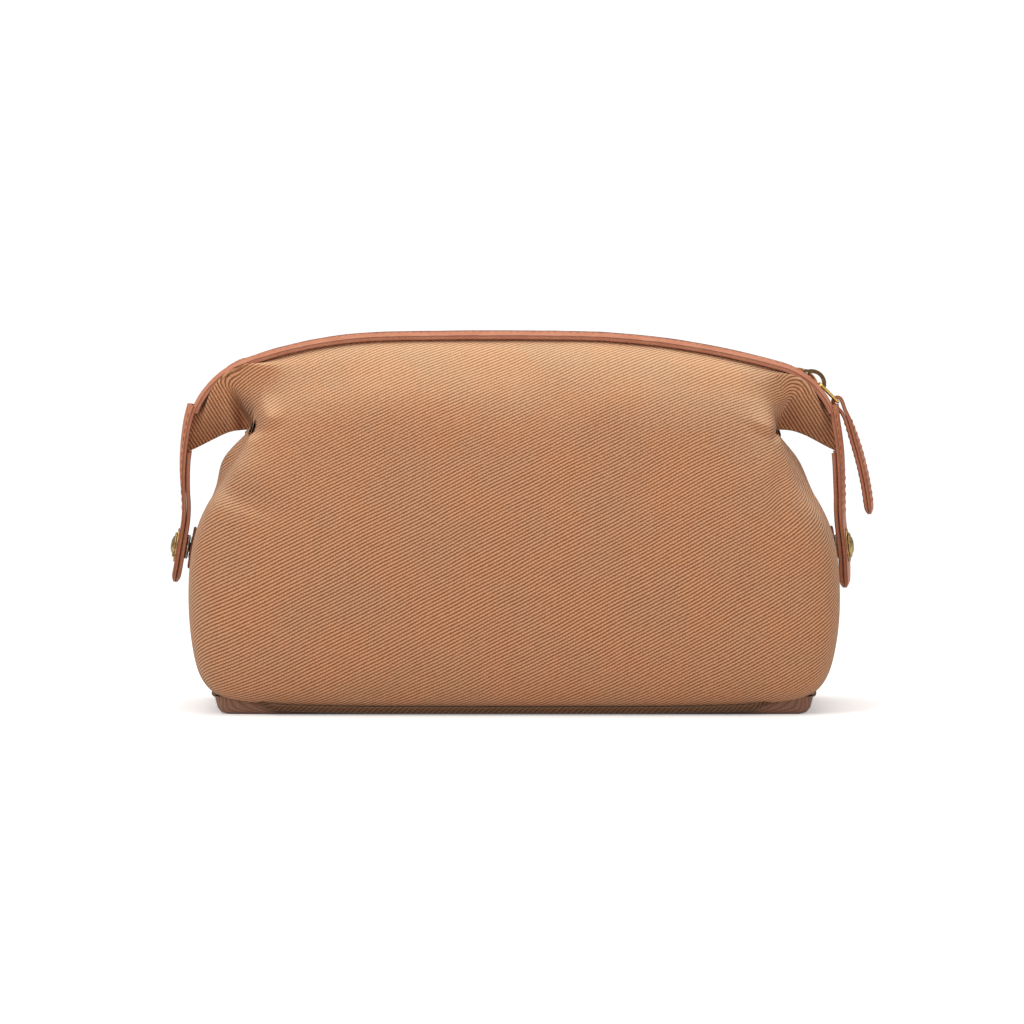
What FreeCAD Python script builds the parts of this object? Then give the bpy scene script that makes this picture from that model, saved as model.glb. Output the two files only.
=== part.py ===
"""Soft shaving kit bag: twill canvas body, leather-trimmed zip over an arched crown, and snap-down end tabs.

Row frame: millimetres, +Z up, origin on the ground under the middle of the bag.  X runs along the zip, to the
right when the bag is seen from the front, and the front of the bag faces -Y.
"""
import FreeCAD, Part
import os
from math import atan2, cos, degrees, radians, sin, sqrt

from FreeCAD import Placement, Rotation, Vector

os.makedirs("parts", exist_ok=True)

# ---------------------------------------------------------------- driving dimensions
CANVAS_T = 1.2                # twill canvas
LINING_DEPTH = (2.1, 2.6)     # outer and inner face of the cotton lining, under the canvas face
TRIM_T = 1.9                  # leather trim beside the zip
SEAM_GAP = 0.3                # half the gap between the front and back halves at the side seams

BASE_HALF_X = 128.0           # bottom seam, half length
BASE_HALF_Y = 50.0            # bottom seam, half depth
CORD_R = 1.55                 # canvas-covered piping cord round the bottom seam
FLOOR_T = 1.2
BOARD_T = 1.5
BELLY_HALF_X = 140.5          # control width of the widest level
BELLY_HALF_Y = 65.0

CROWN_X = -8.0                # top of the zip's long flat arch, a little left of the middle
CROWN_TOP_Z = 161.5           # on the outside of the leather trim
# radii of the crown, the flank and the shoulder on each side, and the slope in degrees where each one ends
RIGHT_ARCS = ((2000.0, 0.95), (350.0, 15.9), (34.0, 83.0))
LEFT_ARCS = ((2000.0, 1.35), (191.0, 20.0), (38.0, 83.0))
RIGHT_EAR_LENGTH = 11.0       # straight run from the shoulder's foot to the ear's tip
LEFT_EAR_LENGTH = 10.0

TRIM_TOP = 3.8                # the trim's outer face above the tape plane
TRIM_Y = (5.7, 14.3)          # inner and outer edge of each trim
TRIM_TILT = radians(11.0)     # each trim leans down to its own side
TRIM_FOOT_Z = 127.4           # the trims end here, above the tabs
TAPE_T = 0.5
# the tape's section, as distance from the middle and height from the tape plane; it narrows inside the ears
TAPE_SECTION = ((1.3, 0.0), (3.2, 0.0), (5.0, 0.0), (7.2, -0.5), (8.6, -1.4))
TAPE_NARROWS = (124.0, 146.0, 0.33)   # arc lengths between which it narrows, and the share of width left
RIM_N = 1.5                   # the canvas rim's outer face above the tape plane, under the trim
SEWN_PITCH = 3.2              # stitch spacing
SEWN_INSET = 2.1              # from the trim's edge beside the zip
STITCH = (2.3, 0.7, 0.4)      # one stitch: length, width, height

TOOTH_PITCH = 2.1
TOOTH_T = 0.86                # along the zip
TOOTH_REACH = 0.85            # past the middle of the zip
TOOTH_ROOT = 2.9
TOOTH_HALF_H = 1.2

SLIDER_LENGTH = 13.0
SLIDER_HALF_W = 5.0
SLIDER_PLATE = (1.75, 2.9)    # inner and outer face of each plate from the tape plane
BRIDGE_RISE = 5.6
SLIDER_N = -0.3               # the straight slider sits a little deep on the curved zip
LIP_GAP = 0.85                # half the gap the tapes run through
BRIDGE_T = 1.7
BRIDGE_HALF_W = 1.5
SLIDER_SLOPE_DEG = 43.0       # the zip's slope where the slider stands when closed
PIN_R = 0.6
PIN_HOLE_R = 0.66
PIN_AT = (-4.8, 4.1)          # lock pin in the slider's own axes, in the rear foot of the bridge
RING_AT = (2.75, 4.55)         # the ring's near bar, just inside the bridge

RING_WIRE_R = 0.75
RING_HALF_W = 4.2             # centre line of the ring's long sides
RING_BEND_R = 1.4
RING_LENGTH = 10.6
RING_SLOPE_DEG = 45.0
PULL_HALF_W = (2.5, 5.2)      # half width of the neck in the ring and of the pull
PULL_PLY = 1.5

TAB_PLY = 1.7
TAB_GAP = 0.12                # half the gap between a tab's two plies
TAB_HALF_W = (12.5, 9.5)      # half width at the top and near the free end
TAB_INNER_TOP_Z = 107.8       # the inner ply starts under the ear's tip
SNAP_Z = 69.0
SNAP_PLATE_R = 7.3
SNAP_CAP_R = 5.3
SOCKET_R = 5.2
STUD_R = 1.7


# ---------------------------------------------------------------- the line of the zip
class CrownLine:
    """One side of the zip's line in the X-Z plane: three tangent arcs, then straight to the ear's tip."""

    def __init__(self, side, arcs, ear_length):
        self.side = side
        self.pieces = []
        s, slope, x, z = 0.0, 0.0, 0.0, CROWN_TOP_Z
        for radius, end in arcs:
            self.pieces.append((s, slope, x, z, radius))
            turn = radians(end) - slope
            x += radius * (sin(slope + turn) - sin(slope))
            z -= radius * (cos(slope) - cos(slope + turn))
            s += radius * turn
            slope += turn
        self.foot = (s, slope, x, z)
        self.length = s + ear_length

    def at(self, s, n=0.0):
        """Point at arc length s from the crown's top, n outwards from the trim, and its slope."""
        if s >= self.foot[0]:
            s0, slope, x, z = self.foot
            x += (s - s0) * cos(slope)
            z -= (s - s0) * sin(slope)
        else:
            s0, slope0, x, z, radius = [piece for piece in self.pieces if piece[0] <= s][-1]
            slope = slope0 + (s - s0) / radius
            x += radius * (sin(slope) - sin(slope0))
            z -= radius * (cos(slope0) - cos(slope))
        return CROWN_X + self.side * (x + n * sin(slope)), z + n * cos(slope), slope

    def radius_at(self, s):
        return [piece for piece in self.pieces if piece[0] <= s][-1][4]

    def s_at_slope(self, slope):
        s0, slope0, _, _, radius = [piece for piece in self.pieces if piece[1] <= slope][-1]
        return s0 + (slope - slope0) * radius


RIGHT = CrownLine(1, RIGHT_ARCS, RIGHT_EAR_LENGTH)
LEFT = CrownLine(-1, LEFT_ARCS, LEFT_EAR_LENGTH)


def crown_at(s, n=0.0):
    """x, z and slope at signed arc length s; arc length and slope are positive to the right."""
    line = RIGHT if s >= 0 else LEFT
    x, z, slope = line.at(abs(s), n)
    return x, z, slope * line.side


def crown_foot(side, z_foot):
    """Arc length at which the trim's outer face comes down to a height."""
    line = RIGHT if side > 0 else LEFT
    low, high = 0.0, line.length
    for _ in range(40):
        mid = (low + high) / 2
        if line.at(mid)[1] > z_foot:
            low = mid
        else:
            high = mid
    return side * low


# ---------------------------------------------------------------- general solids
def spline_surface(rows):
    surface = Part.BSplineSurface()
    surface.interpolate([[Vector(*p) for p in row] for row in rows])
    return surface


def net_surface(rows):
    """Clamped cubic surface on a net of control points."""
    def knots(count):
        return list(range(count - 2)), [4] + [1] * (count - 4) + [4]

    u_knots, u_mults = knots(len(rows))
    v_knots, v_mults = knots(len(rows[0]))
    surface = Part.BSplineSurface()
    poles = [[Vector(*p) for p in row] for row in rows]
    surface.buildFromPolesMultsKnots(poles, u_mults, v_mults, u_knots, v_knots, False, False, 3, 3)
    return surface


def between(outer, inner):
    """Closed solid between two surfaces laid out the same way, with ruled walls round the edge."""
    faces = [outer.toShape(), inner.toShape()]
    for iso, first, last in (("uIso", 0, 1), ("vIso", 2, 3)):
        for end in (first, last):
            edges = [getattr(s, iso)(s.bounds()[end]).toShape() for s in (outer, inner)]
            faces.append(Part.makeRuledSurface(edges[0], edges[1], 1))
    shell = Part.makeShell(faces)
    shell.sewShape()
    solid = Part.makeSolid(shell)
    if solid.Volume < 0:
        solid.reverse()
    return solid


def slab(outer_rows, inner_rows):
    return between(spline_surface(outer_rows), spline_surface(inner_rows))


def mirrored(shape):
    """Reflect front to back."""
    return shape.mirror(Vector(), Vector(0, 1, 0))


def box(x0, x1, y0, y1, z0, z1):
    return Part.makeBox(x1 - x0, y1 - y0, z1 - z0, Vector(x0, y0, z0))


def disc(radius, height, bevel):
    """Low round button standing on z = 0, with its upper rim rounded."""
    body = Part.makeCylinder(radius, height)
    rim = [e for e in body.Edges if len(e.Vertexes) == 1 and e.Vertexes[0].Point.z > height / 2]
    return body.makeFillet(bevel, rim)


def rounded_prism(half_x, half_y, radius, z0, z1):
    """Upright prism on a rectangle with round corners."""
    prism = box(-half_x, half_x, -half_y, half_y, z0, z1)
    upright = [e for e in prism.Edges if abs(e.Vertexes[0].Point.z - e.Vertexes[-1].Point.z) > 1e-6]
    return prism.makeFillet(radius, upright)


def in_crown_frame(shape, s, n):
    """Carry a shape from local axes (X along the zip, Z out of it) to arc length s, n above the tapes."""
    x, z, slope = crown_at(s, n - TRIM_TOP)
    place = Placement(Vector(x, 0, z), Rotation(Vector(0, 1, 0), degrees(slope)))
    moved = shape.copy()
    moved.Placement = place.multiply(moved.Placement)
    return moved


# ---------------------------------------------------------------- canvas body
def body_net(line):
    """Control points of one side of the front panel, from the bottom seam (first row) up to the zip.

    Rows run from the middle of the front, round the corner, to the side seam.  The upper rows fold out into
    the ear that carries the end of the zip.
    """
    bx, by = BASE_HALF_X, BASE_HALF_Y
    wx, wy = BELLY_HALF_X, BELLY_HALF_Y
    g = SEAM_GAP
    rows = [
        [(0, -by, 3.6), (60, -by, 3.6), (106, -by, 4.2), (bx, -by + 1, 8), (bx, -24, 8), (bx - 1, -g, 7.5)],
        [(0, -55, 6), (60, -55, 6), (110, -54, 7.5), (134, -54, 12), (134, -26, 12), (133, -g, 12)],
        [(0, -62, 22), (60, -62, 22), (112, -61, 22), (138, -58, 26), (138, -29, 25), (137, -g, 25)],
        [(0, -wy, 50), (62, -wy, 50), (114, -62, 50), (wx, -56, 52), (wx, -29, 52), (wx - 3, -g, 54)],
        [(0, -62, 82), (62, -61, 82), (112, -57, 82), (138, -50, 83), (137, -24, 80), (136, -g, 80)],
        [(0, -54, 107), (62, -52, 106), (106, -48, 104), (125, -41, 102), (121, -17, 101), (121, -g, 102)],
        [(0, -44, 128), (60, -42, 128), (100, -37, 126), (115, -28, 122), (104, -10, 119), (105, -g, 119)],
        [(0, -30, 146), (58, -28, 145.5), (98, -24, 141), (112, -15, 136), (114, -9, 128), (121, -g, 120)],
    ]
    shares = (0.0, 0.34, 0.64, 0.8, 0.91, 1.0)
    under_trim = -TRIM_T - 0.15
    near, rim = [], []
    for i, share in enumerate(shares):
        x, z, _ = line.at(share * line.length, under_trim - 1.9)
        near.append((line.side * x, (-15.5, -15.5, -14.5, -12, -9, -g)[i], z))
        x, z, _ = line.at(share * line.length, under_trim)
        rim.append((line.side * x, (-6.2, -6.2, -6.2, -6.2, -5.8, -3.0)[i], z))
    tip_x, tip_y, tip_z = rim[-1]
    near[-1] = (tip_x - 9.0, -g, tip_z + 2.0)
    rim[-1] = (tip_x - 1.3, tip_y, tip_z)
    rows += [near, rim]
    return [[(line.side * x, y, z) for x, y, z in row] for row in rows]


def body_surface():
    left, right = body_net(LEFT), body_net(RIGHT)
    rows = [list(reversed(lrow[1:])) + rrow for lrow, rrow in zip(left, right)]
    return net_surface(rows)


class Canvas:
    """The front half's outer canvas face, by u (0 bottom seam, 1 zip) and v (0 left, 1 right)."""

    def __init__(self):
        self.surface = body_surface()
        self.u0, self.u1, self.v0, self.v1 = self.surface.bounds()
        middle = self.surface.normal((self.u0 + self.u1) / 2, (self.v0 + self.v1) / 2)
        self.facing = -1 if middle.y > 0 else 1
        self.lifts = {}

    def lift(self, v):
        """What brings the rim to its height under the trim, at this place along it."""
        if v not in self.lifts:
            rim = self.surface.value(self.u1, self.v0 + (self.v1 - self.v0) * v)
            s = 0.0 if abs(rim.x - CROWN_X) < 1 else (rim.x - CROWN_X) * 1.1
            for _ in range(12):
                x, z, slope = crown_at(s, -TRIM_TOP)
                s += (rim.x - x) * cos(slope) - (rim.z - z) * sin(slope)
            x, z, slope = crown_at(s, -TRIM_TOP)
            up = Vector(sin(slope), 0, cos(slope))
            self.lifts[v] = up * (RIM_N - (rim - Vector(x, rim.y, z)).dot(up))
        return self.lifts[v]

    def at(self, u, v, depth=0.0):
        su = self.u0 + (self.u1 - self.u0) * u
        sv = self.v0 + (self.v1 - self.v0) * v
        p = self.surface.value(su, sv) - self.surface.normal(su, sv) * self.facing * depth
        k = max(0.0, (u - 0.8) / 0.2)
        p += self.lift(v) * k * k * (3 - 2 * k)
        return Vector(p.x, min(p.y, -SEAM_GAP), p.z)

    def sheet(self, depths, u_range=(0.0, 1.0), ends_clear=0.0, rows=31, columns=61):
        """Sheet between two depths under the face; its upper corners keep clear of the ears."""
        grids = []
        for depth in depths:
            grid = []
            for i in range(rows):
                u = u_range[0] + (u_range[1] - u_range[0]) * i / (rows - 1.0)
                k = min(1.0, max(0.0, (u - 0.55) / 0.3))
                inset = ends_clear * k * k * (3 - 2 * k)
                grid.append([tuple(self.at(u, inset + (1 - 2 * inset) * j / (columns - 1.0), depth))
                             for j in range(columns)])
            grids.append(grid)
        return slab(*grids)


def seam_cord(canvas):
    """Piping cord under the bottom seam: a front and a back length that meet at the side seams."""
    points = [canvas.at(0.0, 0.012 + 0.976 * k / 44.0, -(CORD_R + 0.2)) for k in range(45)]
    sections = []
    for k, point in enumerate(points):
        along = points[min(k + 1, 44)] - points[max(k - 1, 0)]
        sections.append(Part.Wire(Part.makeCircle(CORD_R, point, along)))
    front = Part.makeLoft(sections, True, False)
    return Part.makeCompound([front, mirrored(front)])


def floor_tray():
    """Bottom panel: trimmed flat where it rests on the ground, its rim turned up to the bottom seam."""
    hx, hy = BASE_HALF_X - 2.2, BASE_HALF_Y - 2.0
    stations = ((0.0, 0.0), (0.4, 0.0), (0.7, 0.0), (0.86, 0.0), (0.94, 1.0), (0.98, 3.6), (1.0, 5.4))
    across = ((0.0, 0.0), (0.5, 0.0), (0.84, 0.0), (0.95, 0.5), (1.0, 2.0))
    along = [(-a, z) for a, z in reversed(stations[1:])] + list(stations)
    sides = [(-b, z) for b, z in reversed(across[1:])] + list(across)
    faces = []
    for lift in (-0.06, FLOOR_T):
        rows = []
        for b, zb in sides:
            row = []
            for a, za in along:
                corner = 5.0 * a ** 8 * b ** 8
                x = (abs(a) * hx - corner) * (1 if a >= 0 else -1)
                y = (abs(b) * hy - corner) * (1 if b >= 0 else -1)
                row.append((x, y, max(za, zb) + lift))
            rows.append(row)
        faces.append(net_surface(rows))
    return between(*faces).cut(box(-hx - 9, hx + 9, -hy - 9, hy + 9, -2, 0))


# ---------------------------------------------------------------- zip and trims
def strip(s0, s1, section, thickness, narrows=(1e3, 1e4, 1.0), steps=81):
    """Band along the front of the zip's line.

    The section gives the band's middle as distance from the zip's middle and height from the tape plane.
    """
    first, last, share = narrows
    grids = []
    for lift in (thickness / 2, -thickness / 2):
        grid = []
        for i in range(steps):
            s = s0 + (s1 - s0) * i / (steps - 1.0)
            k = min(1.0, max(0.0, (abs(s) - first) / (last - first)))
            width = 1 + (share - 1) * k * k * (3 - 2 * k)
            row = []
            for y, n in section:
                x, z, _ = crown_at(s, n * width + lift - TRIM_TOP)
                row.append((x, -(section[0][0] + (y - section[0][0]) * width), z))
            grid.append(row)
        grids.append(grid)
    return slab(*grids)


def stitch_row(s0, s1, y):
    """Straight stitches lying on the front trim at a distance y from the middle."""
    fall = (y - TRIM_Y[0]) * sin(TRIM_TILT)
    length, width, height = STITCH
    solids = []
    count = int((s1 - s0) / SEWN_PITCH)
    for k in range(count):
        stitch = box(-length / 2, length / 2, -width / 2, width / 2, 0.06, height)
        stitch.rotate(Vector(), Vector(1, 0, 0), degrees(TRIM_TILT))
        stitch.translate(Vector(0, -y, 0))
        solids.append(in_crown_frame(stitch, s0 + (k + 0.5) * SEWN_PITCH, TRIM_TOP - fall + 0.08))
    return Part.makeCompound(solids)


def tooth_rows(s0, s1):
    """Front and back rows of zip teeth between two places, meshed half a pitch apart."""
    tooth = box(-TOOTH_T / 2, TOOTH_T / 2, -TOOTH_ROOT, TOOTH_REACH, -TOOTH_HALF_H, TOOTH_HALF_H)
    slot = TAPE_T / 2 + 0.14
    tooth = tooth.cut(box(-TOOTH_T, TOOTH_T, -TOOTH_ROOT - 1, -TAPE_SECTION[0][0] + 0.1, -slot, slot))
    back_tooth = mirrored(tooth)
    rows = ([], [])
    s, k = s1, 0
    while s > s0:
        rows[k % 2].append(in_crown_frame(back_tooth if k % 2 else tooth, s, 0.0))
        line = RIGHT if s >= 0 else LEFT
        radius = line.radius_at(abs(s))
        s -= TOOTH_PITCH / 2 * radius / (radius - TRIM_TOP)
        k += 1
    return [Part.makeCompound(row) for row in rows]


def slider_body():
    """Slider casting in its own axes: two plates, a wedge post between them, side lips and the bridge."""
    half = SLIDER_LENGTH / 2
    lo, hi = SLIDER_PLATE
    w = SLIDER_HALF_W
    plan = [Vector(-half, -3.9, 0), Vector(-half, 3.9, 0), Vector(0, w, 0), Vector(half, w, 0),
            Vector(half, 1.2, 0), Vector(half - 2.0, 0, 0), Vector(half, -1.2, 0), Vector(half, -w, 0),
            Vector(0, -w, 0)]
    plate = Part.Face(Part.makePolygon(plan + [plan[0]])).extrude(Vector(0, 0, hi - lo))
    top, low = plate.copy(), plate.copy()
    top.translate(Vector(0, 0, lo))
    low.translate(Vector(0, 0, -hi))
    wedge = [Vector(1.6, 0, 0), Vector(half - 2.2, -0.55, 0), Vector(half - 2.2, 0.55, 0)]
    post = Part.Face(Part.makePolygon(wedge + [wedge[0]])).extrude(Vector(0, 0, 2 * lo + 0.4))
    post.translate(Vector(0, 0, -lo - 0.2))
    body = top.fuse([low, post])
    for side in (-1, 1):
        y0, y1 = sorted((side * (w - 0.9), side * w))
        body = body.fuse([box(0.2, half, y0, y1, -lo - 0.1, -LIP_GAP),
                          box(0.2, half, y0, y1, LIP_GAP, lo + 0.1)])
    span = half - 0.3
    outer_r = (span * span + BRIDGE_RISE * BRIDGE_RISE) / (2 * BRIDGE_RISE)
    centre = Vector(0, -BRIDGE_HALF_W, hi + BRIDGE_RISE - outer_r)
    across = Vector(0, 1, 0)
    arch = Part.makeCylinder(outer_r, 2 * BRIDGE_HALF_W, centre, across)
    arch = arch.cut(Part.makeCylinder(outer_r - BRIDGE_T, 2 * BRIDGE_HALF_W, centre, across))
    arch = arch.common(box(-half, half, -BRIDGE_HALF_W, BRIDGE_HALF_W, hi - 0.2, hi + BRIDGE_RISE))
    foot = Vector(PIN_AT[0], -BRIDGE_HALF_W, PIN_AT[1])
    lug = Part.makeCylinder(PIN_R + 1.0, 2 * BRIDGE_HALF_W, foot, across)
    body = body.fuse([arch, lug])
    hole = Part.makeCylinder(PIN_HOLE_R, 12, Vector(PIN_AT[0], -6, PIN_AT[1]), across)
    return body.cut(hole).removeSplitter()


SLIDER_S = RIGHT.s_at_slope(radians(SLIDER_SLOPE_DEG))


def slider_point(along, up):
    """A point given in the slider's own axes, in the row frame."""
    x, z, slope = crown_at(SLIDER_S, SLIDER_N - TRIM_TOP)
    return Vector(x + along * cos(slope) + up * sin(slope), 0, z - along * sin(slope) + up * cos(slope))


def ring_solid():
    """Oblong wire ring in its own X-Y plane, with the middle of its near bar at the origin."""
    path = rounded_prism(RING_LENGTH / 2, RING_HALF_W, RING_BEND_R, 0, 1)
    rim = [e for e in path.Edges if all(abs(v.Point.z) < 1e-6 for v in e.Vertexes)]
    wire = Part.Wire(Part.__sortEdges__(rim))
    start = wire.OrderedEdges[0]
    at = start.valueAt(start.FirstParameter)
    section = Part.Face(Part.Wire(Part.makeCircle(RING_WIRE_R, at, start.tangentAt(start.FirstParameter))))
    ring = wire.makePipe(section)
    ring.translate(Vector(RING_LENGTH / 2, 0, 0))
    return ring


def turned(shape, origin, slope_deg):
    """Turn a shape about Y so that its own +X falls by the slope, then carry its origin to a point."""
    moved = shape.copy()
    moved.Placement = Placement(origin, Rotation(Vector(0, 1, 0), slope_deg)).multiply(moved.Placement)
    return moved


# ---------------------------------------------------------------- leather straps
class Ribbon:
    """A strap's middle line in the X-Z plane, with its half width along the line."""

    def __init__(self, points, side, half_widths, taper=0.6, rounding=0.13, cup=0.0):
        self.points, self.side, self.half_widths = points, side, half_widths
        self.taper, self.rounding, self.cup = taper, rounding, cup
        self.curve = Part.BSplineCurve()
        self.curve.interpolate([Vector(x, 0, z) for x, z in points])

    def t(self, share):
        return self.curve.FirstParameter + (self.curve.LastParameter - self.curve.FirstParameter) * share

    def share_at(self, z):
        """Share of the length at which the line comes down to a height."""
        low, high = 0.0, 1.0
        for _ in range(40):
            mid = (low + high) / 2
            if self.curve.value(self.t(mid)).z > z:
                low = mid
            else:
                high = mid
        return low

    def frame(self, share):
        """Point on the line and the direction square to it, away from the bag."""
        tangent = self.curve.tangent(self.t(share))[0]
        return self.curve.value(self.t(share)), Vector(-tangent.z, 0, tangent.x) * self.side

    def half_width(self, share):
        """Tapered, then rounded off at the free end."""
        top, low = self.half_widths
        width = top + (low - top) * min(1.0, share / self.taper)
        if share > 1 - self.rounding:
            k = (share - 1 + self.rounding) / self.rounding
            width *= sqrt(max(0.0, 1 - (0.97 * k) ** 2))
        return width

    def hollow(self, share):
        """How far the strap's edges curl back towards the bag."""
        return self.cup * max(0.0, 1 - share / 0.5)

    def ply(self, n0, n1, z_top=1e3):
        """One ply between two distances from the middle line."""
        first = self.share_at(z_top) if z_top < self.points[0][1] else 0.0
        grids = []
        for n in (n1, n0):
            grid = []
            for i in range(45):
                share = first + (1 - first) * (1 - (1 - i / 44.0) ** 1.6)
                point, outward = self.frame(share)
                row = []
                for j in range(7):
                    y = -1 + j / 3.0
                    p = point + outward * (n - self.hollow(share) * y * y)
                    row.append((p.x, y * self.half_width(share), p.z))
                grid.append(row)
            grids.append(grid)
        return slab(*grids)

    def stitches(self, first, last, count, n, inset, skip=(2.0, 2.0)):
        """Stitches down both edges of the face that stands n off the middle line."""
        length, width, height = STITCH
        solids = []
        for k in range(count):
            share = first + (last - first) * k / (count - 1.0)
            if skip[0] < share < skip[1]:
                continue
            point, outward = self.frame(share)
            half = self.half_width(share) - inset
            curl = self.hollow(share) * (half / (half + inset)) ** 2
            for edge in (-1, 1):
                low, high = (0.12, height) if n > 0 else (-height, -0.12)
                stitch = box(-width / 2, width / 2, -length / 2, length / 2, low, high)
                across = Vector(0, -1, 0)
                stitch.Placement = Placement(point + outward * (n - curl) + Vector(0, edge * half, 0),
                                             Rotation(across, outward.cross(across), outward, "ZXY"))
                solids.append(stitch)
        return solids


def tab_ribbon(side):
    """End tab from its top, over the ear's tip, past the snap to the free end."""
    if side > 0:
        points = [(137.9, 125.4), (139.3, 116), (140.2, 106), (140.4, 96), (140.5, 87), (141.3, 78),
                  (142.7, 69), (143.5, 60), (143.6, 51)]
    else:
        points = [(-139.6, 125.4), (-141.1, 116), (-141.8, 106), (-141.5, 96), (-140.8, 87), (-141.4, 78),
                  (-143.0, 69), (-144.3, 61), (-145.8, 53.5)]
    return Ribbon(points, side, TAB_HALF_W, cup=1.1)


def pull_ribbon(bar):
    """The zip pull hangs off the shoulder from the ring's far bar, clear of the right tab."""
    fall = ((0, 0), (3.4, -5.7), (6.2, -12.9), (8.9, -21.4), (11.2, -30.4), (12.9, -39.4), (14.0, -48.4))
    return Ribbon([(bar.x + x, bar.z + z) for x, z in fall], 1, PULL_HALF_W, taper=0.24, rounding=0.11)


def pull_strap(ribbon):
    """One strap folded over the ring's bar, its two plies sewn face to face below the fold."""
    def beside(share, face):
        point, outward = ribbon.frame(share)
        spread = max(0.0, 1 - share / 0.16)
        return point + outward * face * (PULL_PLY / 2 + 0.05 + 1.0 * spread * spread * (3 - 2 * spread))

    bar, outward = ribbon.frame(0.0)
    along = Vector(-outward.z, 0, outward.x)
    along = along * (1 if along.z > 0 else -1)
    shares = [1 - k / 18.0 for k in range(18)]
    reach = PULL_PLY / 2 + 1.05
    turns = [radians(a) for a in range(180, -1, -30)]
    fold = [bar + outward * reach * cos(a) + along * reach * sin(a) for a in turns]
    path = [(beside(k, -1), k) for k in shares] + [(p, 0.0) for p in fold]
    path += [(beside(k, 1), k) for k in shares[::-1]]
    curve = Part.BSplineCurve()
    curve.interpolate([p for p, _ in path])
    grids = []
    for n in (PULL_PLY / 2, -PULL_PLY / 2):
        grid = []
        for point, share in path:
            tangent = curve.tangent(curve.parameter(point))[0]
            p = point + Vector(-tangent.z, 0, tangent.x) * n
            half = ribbon.half_width(share)
            grid.append([(p.x, half * y / 2.0, p.z) for y in (-2, -1, 0, 1, 2)])
        grids.append(grid)
    return slab(*grids)


def on_tab(shape, side, n):
    """Carry a shape standing on z = 0 to the snap's place, n out from the tab's middle line, facing away."""
    ribbon = tab_ribbon(side)
    point, outward = ribbon.frame(ribbon.share_at(SNAP_Z))
    moved = shape.copy()
    seat = Placement(point + outward * n, Rotation(Vector(0, 0, 1), outward))
    moved.Placement = seat.multiply(moved.Placement)
    return moved


def snap_hole(side):
    return on_tab(Part.makeCylinder(1.6, 12, Vector(0, 0, -6)), side, 0.0)


def snap_parts(side):
    """Plate and domed cap outside the tab, and the socket inside it, joined by the cap's post."""
    face = TAB_PLY + TAB_GAP
    plate = disc(SNAP_PLATE_R, 0.6, 0.25).cut(Part.makeCylinder(1.6, 2))
    cap = disc(SNAP_CAP_R, 1.1, 0.5).fuse(disc(SNAP_CAP_R - 1.6, 1.9, 0.6))
    cap = cap.fuse(Part.makeCylinder(1.45, 2 * face + 0.7, Vector(0, 0, -2 * face - 0.7)))
    socket = Part.makeCylinder(SOCKET_R, 1.5).cut(Part.makeCylinder(STUD_R + 0.35, 1.2))
    socket = socket.cut(Part.makeCylinder(1.55, 3))
    places = ((plate, face + 0.06), (cap, face + 0.72), (socket, -face - 1.75))
    return [on_tab(shape, side, n) for shape, n in places]


def stud_parts(side):
    """Leather patch on the bag's end, and the stud riveted through it."""
    face = TAB_PLY + TAB_GAP
    patch = rounded_prism(9.0, 9.0, 4.0, 0, 1.2).cut(Part.makeCylinder(1.4, 3))
    foot = Vector(0, 0, 1.25)
    stud = Part.makeCylinder(4.6, 0.35, foot).fuse(Part.makeCylinder(STUD_R, 1.5, foot))
    stud = stud.fuse(Part.makeCylinder(1.25, 1.3))
    seat = -face - 3.4
    return on_tab(patch, side, seat), on_tab(stud, side, seat)


# ---------------------------------------------------------------- build and write
def report_zip_path():
    """Circle through the lock pin's places with the slider closed, at the crown's top and fully open."""
    places = []
    for s in (SLIDER_S, 0.0, -LEFT.s_at_slope(radians(SLIDER_SLOPE_DEG))):
        x, z, slope = crown_at(s, SLIDER_N - TRIM_TOP)
        places.append((x + PIN_AT[0] * cos(slope) + PIN_AT[1] * sin(slope),
                       z - PIN_AT[0] * sin(slope) + PIN_AT[1] * cos(slope), degrees(slope)))
    circle = Part.Arc(*(Vector(x, 0, z) for x, z, _ in places)).toShape().Curve
    centre = circle.Center
    angles = [degrees(atan2(x - centre.x, z - centre.z)) for x, z, _ in places]
    travel = angles[2] - angles[0]
    turn = places[2][2] - places[0][2]
    print("zip path centre", centre, "radius", circle.Radius, "places", places)
    print("travel", travel, "slider turn past the travel", turn - travel, "ratio", (turn - travel) / travel)


def save(name, shape):
    shape.exportStep("parts/" + name + ".step")
    print(name, len(shape.Solids), round(shape.Volume, 1), shape.isValid())


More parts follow.
